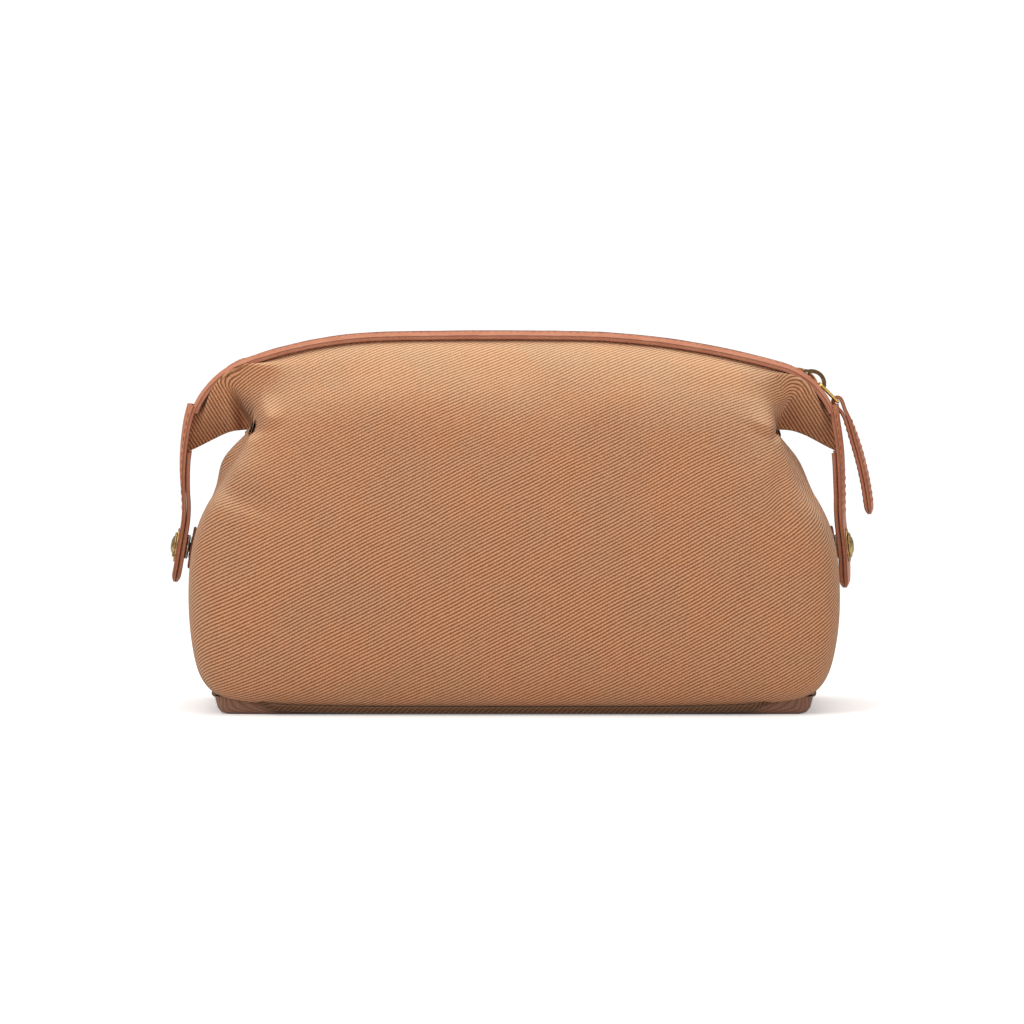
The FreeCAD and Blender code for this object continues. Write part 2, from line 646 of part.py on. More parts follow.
def main():
    canvas = Canvas()
    front = canvas.sheet((0.0, CANVAS_T))
    lining = canvas.sheet(LINING_DEPTH, (0.03, 0.93), 0.17)
    s_left, s_right = crown_foot(-1, TRIM_FOOT_Z), crown_foot(1, TRIM_FOOT_Z)
    across = [TRIM_Y[0] + (TRIM_Y[1] - TRIM_Y[0]) * k / 3.0 for k in range(4)]
    trim_section = [(y, TRIM_TOP - TRIM_T / 2 - (y - TRIM_Y[0]) * sin(TRIM_TILT)) for y in across]
    trim = strip(s_left, s_right, trim_section, TRIM_T)
    tape = strip(s_left, s_right, TAPE_SECTION, TAPE_T, TAPE_NARROWS, 121)
    stitches = stitch_row(s_left + 6, s_right - 5, TRIM_Y[0] + SEWN_INSET)
    for name, shape in (("panel", front), ("lining", lining), ("trim", trim), ("zip_tape", tape),
                        ("trim_stitching", stitches)):
        save("front_" + name, shape)
        save("back_" + name, mirrored(shape))
    front_teeth, back_teeth = tooth_rows(s_left + 9, SLIDER_S - 0.6)
    save("front_zip_teeth", front_teeth)
    save("back_zip_teeth", back_teeth)

    save("bottom_panel", floor_tray())
    save("bottom_piping", seam_cord(canvas))
    save("base_board", rounded_prism(100, 38, 12, FLOOR_T + 0.3, FLOOR_T + 0.3 + BOARD_T))
    save("bottom_lining", rounded_prism(112, 44, 16, FLOOR_T + BOARD_T + 0.6, FLOOR_T + BOARD_T + 1.1))
    stop = box(-1.5, 1.5, -2.6, 2.6, -1.3, 1.3).cut(box(-2, 2, -3, 3, -0.65, 0.65))
    stop = stop.fuse(box(-1.5, 1.5, -1.0, 1.0, -1.3, 1.3))
    save("zip_bottom_stop", in_crown_frame(stop, s_left + 6.5, 0.0))

    save("zip_slider", in_crown_frame(slider_body(), SLIDER_S, SLIDER_N))
    pin_end = Vector(PIN_AT[0], -BRIDGE_HALF_W - 0.4, PIN_AT[1])
    pin = Part.makeCylinder(PIN_R, 2 * BRIDGE_HALF_W + 0.8, pin_end, Vector(0, 1, 0))
    save("zip_lock_pin", in_crown_frame(pin, SLIDER_S, SLIDER_N))
    near_bar = slider_point(*RING_AT)
    save("pull_ring", turned(ring_solid(), near_bar, RING_SLOPE_DEG))
    slope = radians(RING_SLOPE_DEG)
    far_bar = near_bar + Vector(cos(slope), 0, -sin(slope)) * RING_LENGTH
    pull = pull_ribbon(far_bar)
    save("pull_strap", pull_strap(pull))
    faces = (PULL_PLY + 0.05, -PULL_PLY - 0.05)
    sewn = [stitch for n in faces for stitch in pull.stitches(0.2, 0.88, 10, n, 1.7)]
    save("pull_stitching", Part.makeCompound(sewn))

    for side, name in ((-1, "left"), (1, "right")):
        hole = snap_hole(side)
        ribbon = tab_ribbon(side)
        save(name + "_tab_outer_ply", ribbon.ply(TAB_GAP, TAB_GAP + TAB_PLY).cut(hole))
        save(name + "_tab_inner_ply", ribbon.ply(-TAB_GAP - TAB_PLY, -TAB_GAP, TAB_INNER_TOP_Z).cut(hole))
        sewn = ribbon.stitches(0.06, 0.84, 15, TAB_GAP + TAB_PLY, 2.2, (0.62, 0.86))
        save(name + "_tab_stitching", Part.makeCompound(sewn))
        plate, cap, socket = snap_parts(side)
        save(name + "_snap_plate", plate)
        save(name + "_snap_cap", cap)
        save(name + "_snap_socket", socket)
        patch, stud = stud_parts(side)
        save(name + "_snap_patch", patch)
        save(name + "_snap_stud", stud)
        print(name, "tab hinge", ribbon.points[0])
    report_zip_path()
    print("ring", near_bar, "pull", far_bar)


main()
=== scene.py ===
"""Looks of the shaving kit bag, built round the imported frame.

Shapes are worked out in millimetres and become metres when a mesh is made.  X runs along the zip, +Z is up,
and the front of the bag faces -Y.
"""
from math import cos, pi, radians, sin

import bpy
import numpy as np
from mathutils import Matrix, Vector


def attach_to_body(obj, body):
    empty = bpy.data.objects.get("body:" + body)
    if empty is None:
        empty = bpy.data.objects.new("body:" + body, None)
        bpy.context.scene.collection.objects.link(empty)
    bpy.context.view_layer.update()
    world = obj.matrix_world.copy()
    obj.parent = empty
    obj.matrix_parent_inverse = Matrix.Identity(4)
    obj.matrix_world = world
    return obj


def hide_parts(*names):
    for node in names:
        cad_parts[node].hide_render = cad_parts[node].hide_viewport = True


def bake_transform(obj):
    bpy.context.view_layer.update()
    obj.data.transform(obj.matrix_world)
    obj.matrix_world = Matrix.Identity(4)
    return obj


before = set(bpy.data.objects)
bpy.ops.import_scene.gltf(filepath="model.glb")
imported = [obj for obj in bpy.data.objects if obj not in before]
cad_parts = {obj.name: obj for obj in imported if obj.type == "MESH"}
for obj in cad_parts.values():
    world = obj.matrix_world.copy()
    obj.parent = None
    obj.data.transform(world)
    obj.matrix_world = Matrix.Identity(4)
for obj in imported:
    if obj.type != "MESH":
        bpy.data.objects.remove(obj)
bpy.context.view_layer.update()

MM = 0.001

# ---------------------------------------------------------------- dimensions shared with the frame
CANVAS_T = 1.2
LINING_DEPTH = (2.1, 2.6)
TRIM_T = 1.9
SEAM_GAP = 0.3
BASE_HALF_X, BASE_HALF_Y = 128.0, 50.0
CORD_R = 1.55
FLOOR_T = 1.2
BELLY_HALF_X, BELLY_HALF_Y = 140.5, 65.0
CROWN_X = -8.0
CROWN_TOP_Z = 161.5
RIGHT_ARCS = ((2000.0, 0.95), (350.0, 15.9), (34.0, 83.0))
LEFT_ARCS = ((2000.0, 1.35), (191.0, 20.0), (38.0, 83.0))
RIGHT_EAR_LENGTH, LEFT_EAR_LENGTH = 11.0, 10.0
TRIM_TOP = 3.8
TRIM_Y = (5.7, 14.3)
TRIM_TILT = radians(11.0)
TRIM_FOOT_Z = 127.4
TAPE_T = 0.5
TAPE_SECTION = ((1.3, 0.0), (3.2, 0.0), (5.0, 0.0), (7.2, -0.5), (8.6, -1.4))
TAPE_NARROWS = (124.0, 146.0, 0.33)
RIM_N = 1.86
SEWN_PITCH = 3.2
SEWN_INSET = 2.1
TOOTH_PITCH = 2.1
TOOTH_T = 0.86
TOOTH_REACH = 0.85
TOOTH_ROOT = 2.9
TOOTH_HALF_H = 1.2
SLIDER_N = -0.3
SLIDER_SLOPE = radians(43.0)
RING_AT = (2.75, 4.55)
RING_LENGTH = 10.6
RING_SLOPE = radians(45.0)
PULL_HALF_W = (2.5, 5.2)
PULL_PLY = 1.5
TAB_PLY = 1.7
TAB_GAP = 0.12
TAB_HALF_W = (12.5, 9.5)
TAB_INNER_TOP_Z = 107.8
TAB_SEWN_INSET = 2.2
UNSEWN_AT_SNAP = (0.62, 0.86)
SNAP_Z = 69.0

# which way each panel and each tab faces
PANELS = ((-1, "front"), (1, "back"))
TAB_SIDES = ((-1, "left"), (1, "right"))

# how far along X each end of the mouth stays shut, and where it opens fully, on the left and on the right
MOUTH_LEFT = (-116.0, -52.0)
MOUTH_RIGHT = (104.0, 42.0)

# the folds between the body and each ear, from top to bottom in the front view
RIGHT_FOLD = ((119.0, 136.5), (111.4, 120.5))
LEFT_FOLD = ((-122.5, 141.0), (-112.6, 121.5))
# how far the weave turns past each fold, and about which share of the fold's length
WEAVE_TURNS = ((RIGHT_FOLD, radians(-86), 0.5), (LEFT_FOLD, radians(92), 0.12))

# side, name, seed of the unevenness, and the shoulders of the rolled cloth beside the left and right ears
FRONT_LOOK = (1, "front", 11, (2.6, 1.4))
BACK_LOOK = (-1, "back", 47, (3.6, 6.2))


# ---------------------------------------------------------------- small tools
def smooth(t):
    t = np.clip(t, 0.0, 1.0)
    return t * t * (3 - 2 * t)


def bump(x, centre, width):
    return np.exp(-(((x - centre) / width) ** 2))


def around(count):
    """Angles evenly round a circle."""
    return np.linspace(0, 2 * pi, count + 1)[:-1]


def unit(vectors):
    return vectors / np.linalg.norm(vectors, axis=-1, keepdims=True)


def run_along(points):
    """Distance along a line of points."""
    return np.concatenate([[0], np.cumsum(np.linalg.norm(np.diff(points, axis=0), axis=1))])


def soft_noise(x, y, cell, seed):
    """Smooth random height between -1 and 1, varying over about one cell."""
    rng = np.random.default_rng(seed)
    table = rng.uniform(-1, 1, (64, 64))
    gx, gy = np.asarray(x) / cell + 1000.0, np.asarray(y) / cell + 1000.0
    ix, iy = np.floor(gx).astype(int), np.floor(gy).astype(int)
    fx, fy = smooth(gx - ix), smooth(gy - iy)

    def corner(dx, dy):
        return table[(ix + dx) % 64, (iy + dy) % 64]

    low = corner(0, 0) * (1 - fx) + corner(1, 0) * fx
    high = corner(0, 1) * (1 - fx) + corner(1, 1) * fx
    return low * (1 - fy) + high * fy


def make_object(name, points, faces, material, fabric=None, edge=None):
    """Mesh object from points in mm.  fabric holds cloth coordinates, and edge marks cut leather edges."""
    points = np.asarray(points, float)
    corners = np.array([face[:3] for face in faces])
    a, b, c = (points[corners[:, k]] for k in range(3))
    if np.einsum("ij,ij->", a - points.mean(0), np.cross(b - a, c - a)) < 0:
        faces = [face[::-1] for face in faces]
    mesh = bpy.data.meshes.new(name)
    mesh.from_pydata((points * MM).tolist(), [], faces)
    mesh.update()
    mesh.shade_smooth()
    mesh.set_sharp_from_angle(angle=radians(50))
    fabric = points if fabric is None else np.asarray(fabric, float)
    if fabric.shape[1] == 2:
        fabric = np.column_stack([fabric, np.zeros(len(fabric))])
    mesh.attributes.new("fabric", "FLOAT_VECTOR", "POINT").data.foreach_set("vector", fabric.ravel())
    edge = np.zeros(len(points)) if edge is None else np.asarray(edge, float)
    mesh.attributes.new("cut_edge", "FLOAT", "POINT").data.foreach_set("value", edge.ravel())
    mesh.materials.append(material)
    made = bpy.data.objects.new(name, mesh)
    bpy.context.scene.collection.objects.link(made)
    return made


def attach(made, node, body="base"):
    """Tie a piece to its body, and hide the frame node it stands for."""
    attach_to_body(made, body)
    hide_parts(node)


def attach_half(made, name, end, node):
    """The mouth opens between the zip's ends; here a half's placement is baked into its mesh, and the frame
    node it stands for is hidden.
    """
    start, stop = MOUTH_LEFT if end == "left" else MOUTH_RIGHT
    name + "_half"
    start * MM
    stop * MM
    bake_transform(made)
    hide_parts(name + node)


def grid_faces(index):
    a, b, c, d = index[:-1, :-1], index[:-1, 1:], index[1:, 1:], index[1:, :-1]
    return np.stack([a, b, c, d], -1).reshape(-1, 4)


def sheet(name, outer, inner, material, fabric):
    """Closed sheet between two grids of points laid out the same way."""
    n, m = outer.shape[:2]
    index = np.arange(n * m).reshape(n, m)
    faces = [grid_faces(index), grid_faces(index + n * m)[:, ::-1]]
    rim = np.concatenate([index[0, :-1], index[:-1, -1], index[-1, :0:-1], index[:0:-1, 0]])
    after = np.roll(rim, -1)
    faces.append(np.stack([rim, rim + n * m, after + n * m, after], -1))
    points = np.concatenate([outer.reshape(-1, 3), inner.reshape(-1, 3)])
    fabric = np.concatenate([fabric.reshape(-1, 2)] * 2)
    return make_object(name, points, np.concatenate(faces).tolist(), material, fabric)


def capped(rings):
    """Points and faces of a solid through rings with the same number of points each."""
    n, m = len(rings), len(rings[0])
    index = np.arange(n * m).reshape(n, m)
    faces = grid_faces(np.concatenate([index, index[:, :1]], 1)).tolist()
    ends = [list(range(m))[::-1], list(range((n - 1) * m, n * m))]
    return np.array(rings, float).reshape(-1, 3), faces + ends


def loft(name, stations, material, fabric, edge=None):
    """Skin over a run of closed outlines with the same number of points each."""
    points, faces = capped(stations)
    edge = None if edge is None else np.asarray(edge, float).ravel()
    return make_object(name, points, faces, material, np.asarray(fabric).reshape(len(points), -1), edge)


def joined(name, copies, material, fabric=None):
    """One mesh from many (points, faces) copies."""
    points, faces, start = [], [], 0
    for one, its_faces in copies:
        points.append(one)
        faces += [[start + i for i in face] for face in its_faces]
        start += len(one)
    return make_object(name, np.concatenate(points), faces, material, fabric)


def cubic_spline(knots, values, t):
    """Natural cubic spline through values at knots, read at t."""
    knots, values, t = np.asarray(knots, float), np.asarray(values, float), np.asarray(t, float)
    n = len(knots)
    h = np.diff(knots)
    a = np.eye(n)
    rhs = np.zeros_like(values)
    for i in range(1, n - 1):
        a[i, i - 1:i + 2] = h[i - 1], 2 * (h[i - 1] + h[i]), h[i]
        rhs[i] = 6 * ((values[i + 1] - values[i]) / h[i] - (values[i] - values[i - 1]) / h[i - 1])
    curve = np.linalg.solve(a, rhs)
    k = np.clip(np.searchsorted(knots, t) - 1, 0, n - 2)
    left, right = (knots[k + 1] - t)[:, None], (t - knots[k])[:, None]
    step = h[k][:, None]
    return ((curve[k] * left ** 3 + curve[k + 1] * right ** 3) / (6 * step)
            + (values[k] / step - curve[k] * step / 6) * left
            + (values[k + 1] / step - curve[k + 1] * step / 6) * right)


# ---------------------------------------------------------------- the line of the zip
class CrownLine:
    """One side of the zip's line in the X-Z plane: three tangent arcs, then straight to the ear's tip."""

    def __init__(self, side, arcs, ear_length):
        self.side, self.pieces = side, []
        s, slope, x, z = 0.0, 0.0, 0.0, CROWN_TOP_Z
        for radius, end in arcs:
            self.pieces.append((s, slope, x, z, radius))
            turn = radians(end) - slope
            x += radius * (sin(slope + turn) - sin(slope))
            z -= radius * (cos(slope) - cos(slope + turn))
            s += radius * turn
            slope += turn
        self.pieces.append((s, slope, x, z, 1e9))
        self.length = s + ear_length

    def at(self, s, n=0.0):
        s, n = np.broadcast_arrays(np.asarray(s, float), np.asarray(n, float))
        x, z, slope = np.zeros(s.shape), np.zeros(s.shape), np.zeros(s.shape)
        for s0, slope0, x0, z0, radius in self.pieces:
            past = s >= s0
            now = slope0 + (s - s0) / radius
            x = np.where(past, x0 + radius * (np.sin(now) - np.sin(slope0)), x)
            z = np.where(past, z0 - radius * (np.cos(slope0) - np.cos(now)), z)
            slope = np.where(past, now, slope)
        return CROWN_X + self.side * (x + n * np.sin(slope)), z + n * np.cos(slope), slope * self.side

    def radius_at(self, s):
        return [piece for piece in self.pieces if piece[0] <= s][-1][4]

    def s_at_slope(self, slope):
        s0, slope0, _, _, radius = [piece for piece in self.pieces[:-1] if piece[1] <= slope][-1]
        return s0 + (slope - slope0) * radius


RIGHT = CrownLine(1, RIGHT_ARCS, RIGHT_EAR_LENGTH)
LEFT = CrownLine(-1, LEFT_ARCS, LEFT_EAR_LENGTH)


def crown_at(s, n=0.0):
    """x, z and signed slope at signed arc length s, n outwards from the trim's outer face."""
    s = np.asarray(s, float)
    right, left = RIGHT.at(np.maximum(s, 0), n), LEFT.at(np.maximum(-s, 0), n)
    return tuple(np.where(s >= 0, r, l) for r, l in zip(right, left))


def crown_foot(side):
    line = RIGHT if side > 0 else LEFT
    reach = np.linspace(0, line.length, 4001)
    return side * reach[np.argmax(line.at(reach)[1] < TRIM_FOOT_Z)]


S_LEFT, S_RIGHT = crown_foot(-1), crown_foot(1)
SLIDER_S = RIGHT.s_at_slope(SLIDER_SLOPE)


# ---------------------------------------------------------------- canvas body
def body_net(line):
    """Control points of one side of the front panel, from the bottom seam (first row) up to the zip."""
    bx, by, wx, wy, g = BASE_HALF_X, BASE_HALF_Y, BELLY_HALF_X, BELLY_HALF_Y, SEAM_GAP
    rows = [
        [(0, -by, 3.6), (60, -by, 3.6), (106, -by, 4.2), (bx, -by + 1, 8), (bx, -24, 8), (bx - 1, -g, 7.5)],
        [(0, -55, 6), (60, -55, 6), (110, -54, 7.5), (134, -54, 12), (134, -26, 12), (133, -g, 12)],
        [(0, -62, 22), (60, -62, 22), (112, -61, 22), (138, -58, 26), (138, -29, 25), (137, -g, 25)],
        [(0, -wy, 50), (62, -wy, 50), (114, -62, 50), (wx, -56, 52), (wx, -29, 52), (wx - 3, -g, 54)],
        [(0, -62, 82), (62, -61, 82), (112, -57, 82), (138, -50, 83), (137, -24, 80), (136, -g, 80)],
        [(0, -54, 107), (62, -52, 106), (106, -48, 104), (125, -41, 102), (121, -17, 101), (121, -g, 102)],
        [(0, -44, 128), (60, -42, 128), (100, -37, 126), (115, -28, 122), (104, -10, 119), (105, -g, 119)],
        [(0, -30, 146), (58, -28, 145.5), (98, -24, 141), (112, -15, 136), (114, -9, 128), (121, -g, 120)],
    ]
    shares = np.array((0.0, 0.34, 0.64, 0.8, 0.91, 1.0))
    under_trim = -TRIM_T - 0.15
    x, z, _ = line.at(shares * line.length, under_trim - 1.9)
    near = list(zip(line.side * x, (-15.5, -15.5, -14.5, -12, -9, -g), z))
    x, z, _ = line.at(shares * line.length, under_trim)
    rim = list(zip(line.side * x, (-6.2, -6.2, -6.2, -6.2, -5.8, -3.0), z))
    tip_x, tip_y, tip_z = rim[-1]
    near[-1] = (tip_x - 9.0, -g, tip_z + 2.0)
    rim[-1] = (tip_x - 1.3, tip_y, tip_z)
    return np.array([[(line.side * px, py, pz) for px, py, pz in row] for row in rows + [near, rim]])


def spline_weights(count, t):
    """Clamped uniform cubic B-spline weights, one row for each t from 0 to 1."""
    knots = np.concatenate([[0.0] * 3, np.arange(count - 2.0), [count - 3.0] * 3])
    x = np.clip(np.asarray(t, float), 0, 1 - 1e-9)[:, None] * (count - 3)
    w = ((x >= knots[:-1]) & (x < knots[1:])).astype(float)
    for p in (1, 2, 3):
        n = len(knots) - 1 - p
        rise, fall = knots[p:p + n] - knots[:n], knots[p + 1:p + 1 + n] - knots[1:n + 1]
        up = np.where(rise > 0, (x - knots[:n]) / np.where(rise > 0, rise, 1), 0)
        down = np.where(fall > 0, (knots[p + 1:p + 1 + n] - x) / np.where(fall > 0, fall, 1), 0)
        w = up * w[:, :n] + down * w[:, 1:n + 1]
    return w


NET = np.concatenate([body_net(LEFT)[:, :0:-1], body_net(RIGHT)], 1)


def rim_lift(rim):
    """What brings the canvas rim to its height under the trim, for each column."""
    s = np.where(abs(rim[:, 0] - CROWN_X) < 1, 0.0, (rim[:, 0] - CROWN_X) * 1.1)
    for _ in range(12):
        x, z, slope = crown_at(s, -TRIM_TOP)
        s = s + (rim[:, 0] - x) * np.cos(slope) - (rim[:, 2] - z) * np.sin(slope)
    x, z, slope = crown_at(s, -TRIM_TOP)
    up = np.stack([np.sin(slope), np.zeros(len(s)), np.cos(slope)], -1)
    off = (rim - np.stack([x, rim[:, 1], z], -1)) * up
    return up * (RIM_N - off.sum(1))[:, None], up


def normals_of(grid):
    """Unit normals of a grid of points, facing away from the bag's inside."""
    n = np.cross(np.gradient(grid, axis=1), np.gradient(grid, axis=0))
    n /= np.maximum(np.linalg.norm(n, axis=2, keepdims=True), 1e-9)
    middle = n[n.shape[0] // 2, n.shape[1] // 2]
    return n if middle[1] < 0 else -n


def canvas_face(u, v):
    """Points of the front's outer canvas face at each u (up) and v (left to right), and the zip's way out."""
    across = spline_weights(NET.shape[1], v)
    grid = np.einsum("ui,ijk,vj->uvk", spline_weights(len(NET), u), NET, across)
    lift, up = rim_lift(across @ NET[-1])
    return grid + lift[None] * smooth((u - 0.8) / 0.2)[:, None, None], up


def cloth_coordinates(grid):
    """Distances along the cloth, from the middle column and from the bottom row."""
    across = np.zeros(grid.shape[:2])
    across[:, 1:] = np.cumsum(np.linalg.norm(np.diff(grid, axis=1), axis=2), 1)
    across -= across[:, grid.shape[1] // 2][:, None]
    up = np.zeros(grid.shape[:2])
    up[1:] = np.cumsum(np.linalg.norm(np.diff(grid, axis=0), axis=2), 0)
    return np.stack([across, up], -1)


def turned_at_ears(cloth, grid, u):
    """Past the fold at each ear the cloth has turned by about a right angle, and its weave with it."""
    x, z = grid[..., 0], grid[..., 2]
    upper = smooth((u - 0.765) / 0.03)[:, None]
    for fold, turn, pivot_share in WEAVE_TURNS:
        share, beyond = along_line(x, z, *fold)
        beyond = beyond * np.sign(fold[0][0])
        spread = 1.2 + 15.0 * smooth(0.4 - share)
        weight = smooth((beyond + spread) / (2 * spread)) * upper * (x * fold[0][0] > 0)
        pivot = np.array(fold[0]) + pivot_share * (np.array(fold[1]) - np.array(fold[0]))
        nearest = np.unravel_index(np.argmin((x - pivot[0]) ** 2 + (z - pivot[1]) ** 2), x.shape)
        dx, dz = x - pivot[0], z - pivot[1]
        turned_by = np.stack([dx * cos(turn) + dz * sin(turn), dz * cos(turn) - dx * sin(turn)], -1)
        ear = cloth[nearest] + turned_by
        cloth = cloth + (ear - cloth) * weight[..., None]
    return cloth


def along_line(x, z, start, end):
    """Share of the way along a line in the front view, and the distance to its right-hand side."""
    (x0, z0), (x1, z1) = start, end
    length = np.hypot(x1 - x0, z1 - z0)
    tx, tz = (x1 - x0) / length, (z1 - z0) / length
    return ((x - x0) * tx + (z - z0) * tz) / length, (x - x0) * -tz + (z - z0) * tx


def rolled(grid, up, u, v, shoulders):
    """Towards both ears the cloth bulges out in front of the trim's edge, most of all at the shoulders."""
    uu, vv = np.meshgrid(u, v, indexing="ij")
    x, y = grid[..., 0], grid[..., 1]
    ends = np.minimum(vv, 1 - vv)
    near = np.where(x > 0, smooth((x - 106) / 18), smooth((-92 - x) / 24)) * smooth((ends - 0.01) / 0.1)
    roll = bump(uu, 0.925, 0.026) * near
    at_shoulder = np.where(x > 0, shoulders[1] * bump(x, 121, 9), shoulders[0] * bump(x, -118, 10))
    grid = grid + up[None] * (roll * (3.2 + at_shoulder))[..., None]
    # the ears' tips reach out to the tabs
    tip = smooth((0.1 - ends) / 0.06) * smooth((uu - 0.82) / 0.15)
    grid = grid + up[None] * (1.9 * tip)[..., None]
    grid[..., 1] += roll * np.minimum(-15.2 - y, 0)
    return grid


def sculpt(grid, u, v, seed):
    """How the cloth of the front lies away from its plain shape, in mm."""
    uu, vv = np.meshgrid(u, v, indexing="ij")
    x, y, z = grid[..., 0], grid[..., 1], grid[..., 2]
    out = normals_of(grid)
    move = np.zeros_like(grid)

    # soft unevenness all over, and a hollow above the left corner
    hold = smooth(uu / 0.08) * smooth((1 - uu) / 0.16) * smooth(np.minimum(vv, 1 - vv) / 0.16)
    wave = 0.8 * soft_noise(x, z, 46.0, seed) + 0.4 * soft_noise(x, z, 19.0, seed + 1)
    wave = wave - 2.4 * bump(x + 0.9 * (z - 91), -111, 13) * bump(z, 91, 8)
    move += out * (hold * wave)[..., None]

    # below each ear the side stands out past the front's folded edge
    side = np.sign(x)
    under_ear = smooth((0.8 - uu) / 0.06)
    middle = 1 - smooth((-y - 9) / 17)
    corner = smooth((-y - 24) / 12) * smooth((abs(x) - 104) / 12)
    bulge = np.where(side > 0, 5.5, 8.5) * bump(z, 109, 12) * middle
    tuck = np.where(side > 0, 3.2, 0.6) * bump(z, 95, 14) * corner
    move[..., 0] += side * (bulge - tuck) * under_ear

    # left ear: a funnel between the ear's flap and the body
    facing = smooth((-out[..., 1] - 0.05) / 0.3)
    share, right = along_line(x, z, *LEFT_FOLD)
    grow = smooth(share) * smooth((1.28 - share) / 0.3)
    width = 1.3 + 2.7 * np.clip(share, 0, 1.2)
    depth = 10.0 * np.exp(-((right / width) ** 2)) - 2.6 * bump(right, -width - 3.0, 3.2)
    depth = depth - 2.4 * bump(right, width + 4.5, 5.5)
    inward = facing * grow * depth * (x < 0)

    # right ear: the body folds over the ear in a sharp crease
    share, left = along_line(x, z, *RIGHT_FOLD)
    grow = smooth(share * 1.1) * smooth((1.3 - share) / 0.3)
    over = 0.5 - 0.5 * np.tanh(left / 0.9)
    fold = -3.2 * over * np.exp(-((left / 10.0) ** 2)) + 7.0 * (1 - over) * np.exp(-((left / 7.0) ** 2))
    inward = inward + facing * grow * fold * (x > 0)

    # neither fold reaches through to the back
    room = np.maximum(0.62 * (-y - SEAM_GAP), 0.1)
    move[..., 1] += np.where(inward > 0, room * np.tanh(inward / room), inward)

    # the snap's patch presses into each side
    press = np.exp(-(((z - SNAP_Z) / 12) ** 4) - (y / 12) ** 4) * (abs(x) > 120)
    move[..., 0] -= side * 1.7 * press
    return grid + move


def mirror_y(grid):
    return grid * np.array([1.0, -1.0, 1.0])


def canvas_sheets(material, lining_material):
    """Front and back canvas and lining, each in a left and a right half that share their middle edge."""
    u = np.concatenate([np.linspace(0, 0.8, 105)[:-1], np.linspace(0.8, 1, 56)])
    v = np.linspace(0, 1, 521)
    middle = len(v) // 2
    plain, up = canvas_face(u, v)
    ends = np.minimum(v, 1 - v)
    for side, name, seed, shoulders in (FRONT_LOOK, BACK_LOOK):
        puffed = rolled(plain, up, u, v, shoulders)
        base = sculpt(puffed, u, v, seed)
        cloth = turned_at_ears(cloth_coordinates(puffed), base, u)
        out = normals_of(base)
        # in the tight folds under the ears the cloth's thickness is taken straight back
        tight = bump(u, 0.78, 0.05)[:, None, None] * smooth((0.3 - ends) / 0.1)[None, :, None]
        inward = -out * (1 - tight) + np.array([0.0, 1.0, 0.0]) * tight
        # the cloth turns in at the side seams, in a shallow groove
        groove = (1 - smooth(ends / 0.006))[None, :, None] * (1 - tight)
        faces = []
        for depth in (0.0, CANVAS_T):
            grid = base + inward * (groove + depth)
            grid[..., 1] = np.minimum(grid[..., 1], -SEAM_GAP)
            faces.append(grid if side > 0 else mirror_y(grid))
        normals = out if side > 0 else mirror_y(out)
        fabric = cloth * np.array([side, 1.0])
        for half, part in (("left", slice(0, middle + 1)), ("right", slice(middle, None))):
            outer, inner = faces[0][:, part], faces[1][:, part]
            made = sheet(f"{name}_canvas_{half}", outer, inner, material, fabric[:, part])
            shade = normals[:, part].reshape(-1, 3)
            made.data.normals_split_custom_set_from_vertices(np.concatenate([shade, -shade]).tolist())
            attach_half(made, name, half, "_panel")
        linings(base, out, u, v, side, name, lining_material)


def linings(base, out, u, v, side, name, material):
    """Lining of one panel, a little inside its canvas, in two halves that share their middle edge."""
    rows, columns = 60, 121
    share_up = np.linspace(0.03, 0.91, rows)
    gaps = 0.25 * smooth((share_up - 0.5) / 0.22)
    grids = []
    for depth in LINING_DEPTH:
        shape = np.zeros((rows, columns, 3))
        for i, (one, gap) in enumerate(zip(share_up, gaps)):
            run = gap + (1 - 2 * gap) * np.linspace(0, 1, columns)
            row, column = np.interp(one, u, np.arange(len(u))), np.interp(run, v, np.arange(len(v)))
            shape[i] = sample(base, out, row, column, depth + 0.2)
        shape[..., 1] = np.minimum(shape[..., 1], -SEAM_GAP)
        grids.append(shape if side > 0 else mirror_y(shape))
    fabric = cloth_coordinates(grids[0])
    middle = columns // 2
    for half, part in (("left", slice(0, middle + 1)), ("right", slice(middle, None))):
        outer, inner = grids[0][:, part], grids[1][:, part]
        made = sheet(f"{name}_lining_{half}", outer, inner, material, fabric[:, part])
        attach_half(made, name, half, "_lining")


def sample(base, out, row, columns, depth):
    """Points a depth under the canvas face, at a fractional row and columns of its grid."""
    i = int(min(row, base.shape[0] - 2))
    f = row - i
    j = np.minimum(columns.astype(int), base.shape[1] - 2)
    g = (columns - j)[:, None]

    def blend_of(grid):
        low = grid[i, j] * (1 - g) + grid[i, j + 1] * g
        high = grid[i + 1, j] * (1 - g) + grid[i + 1, j + 1] * g
        return low * (1 - f) + high * f

    return blend_of(base) - unit(blend_of(out)) * depth


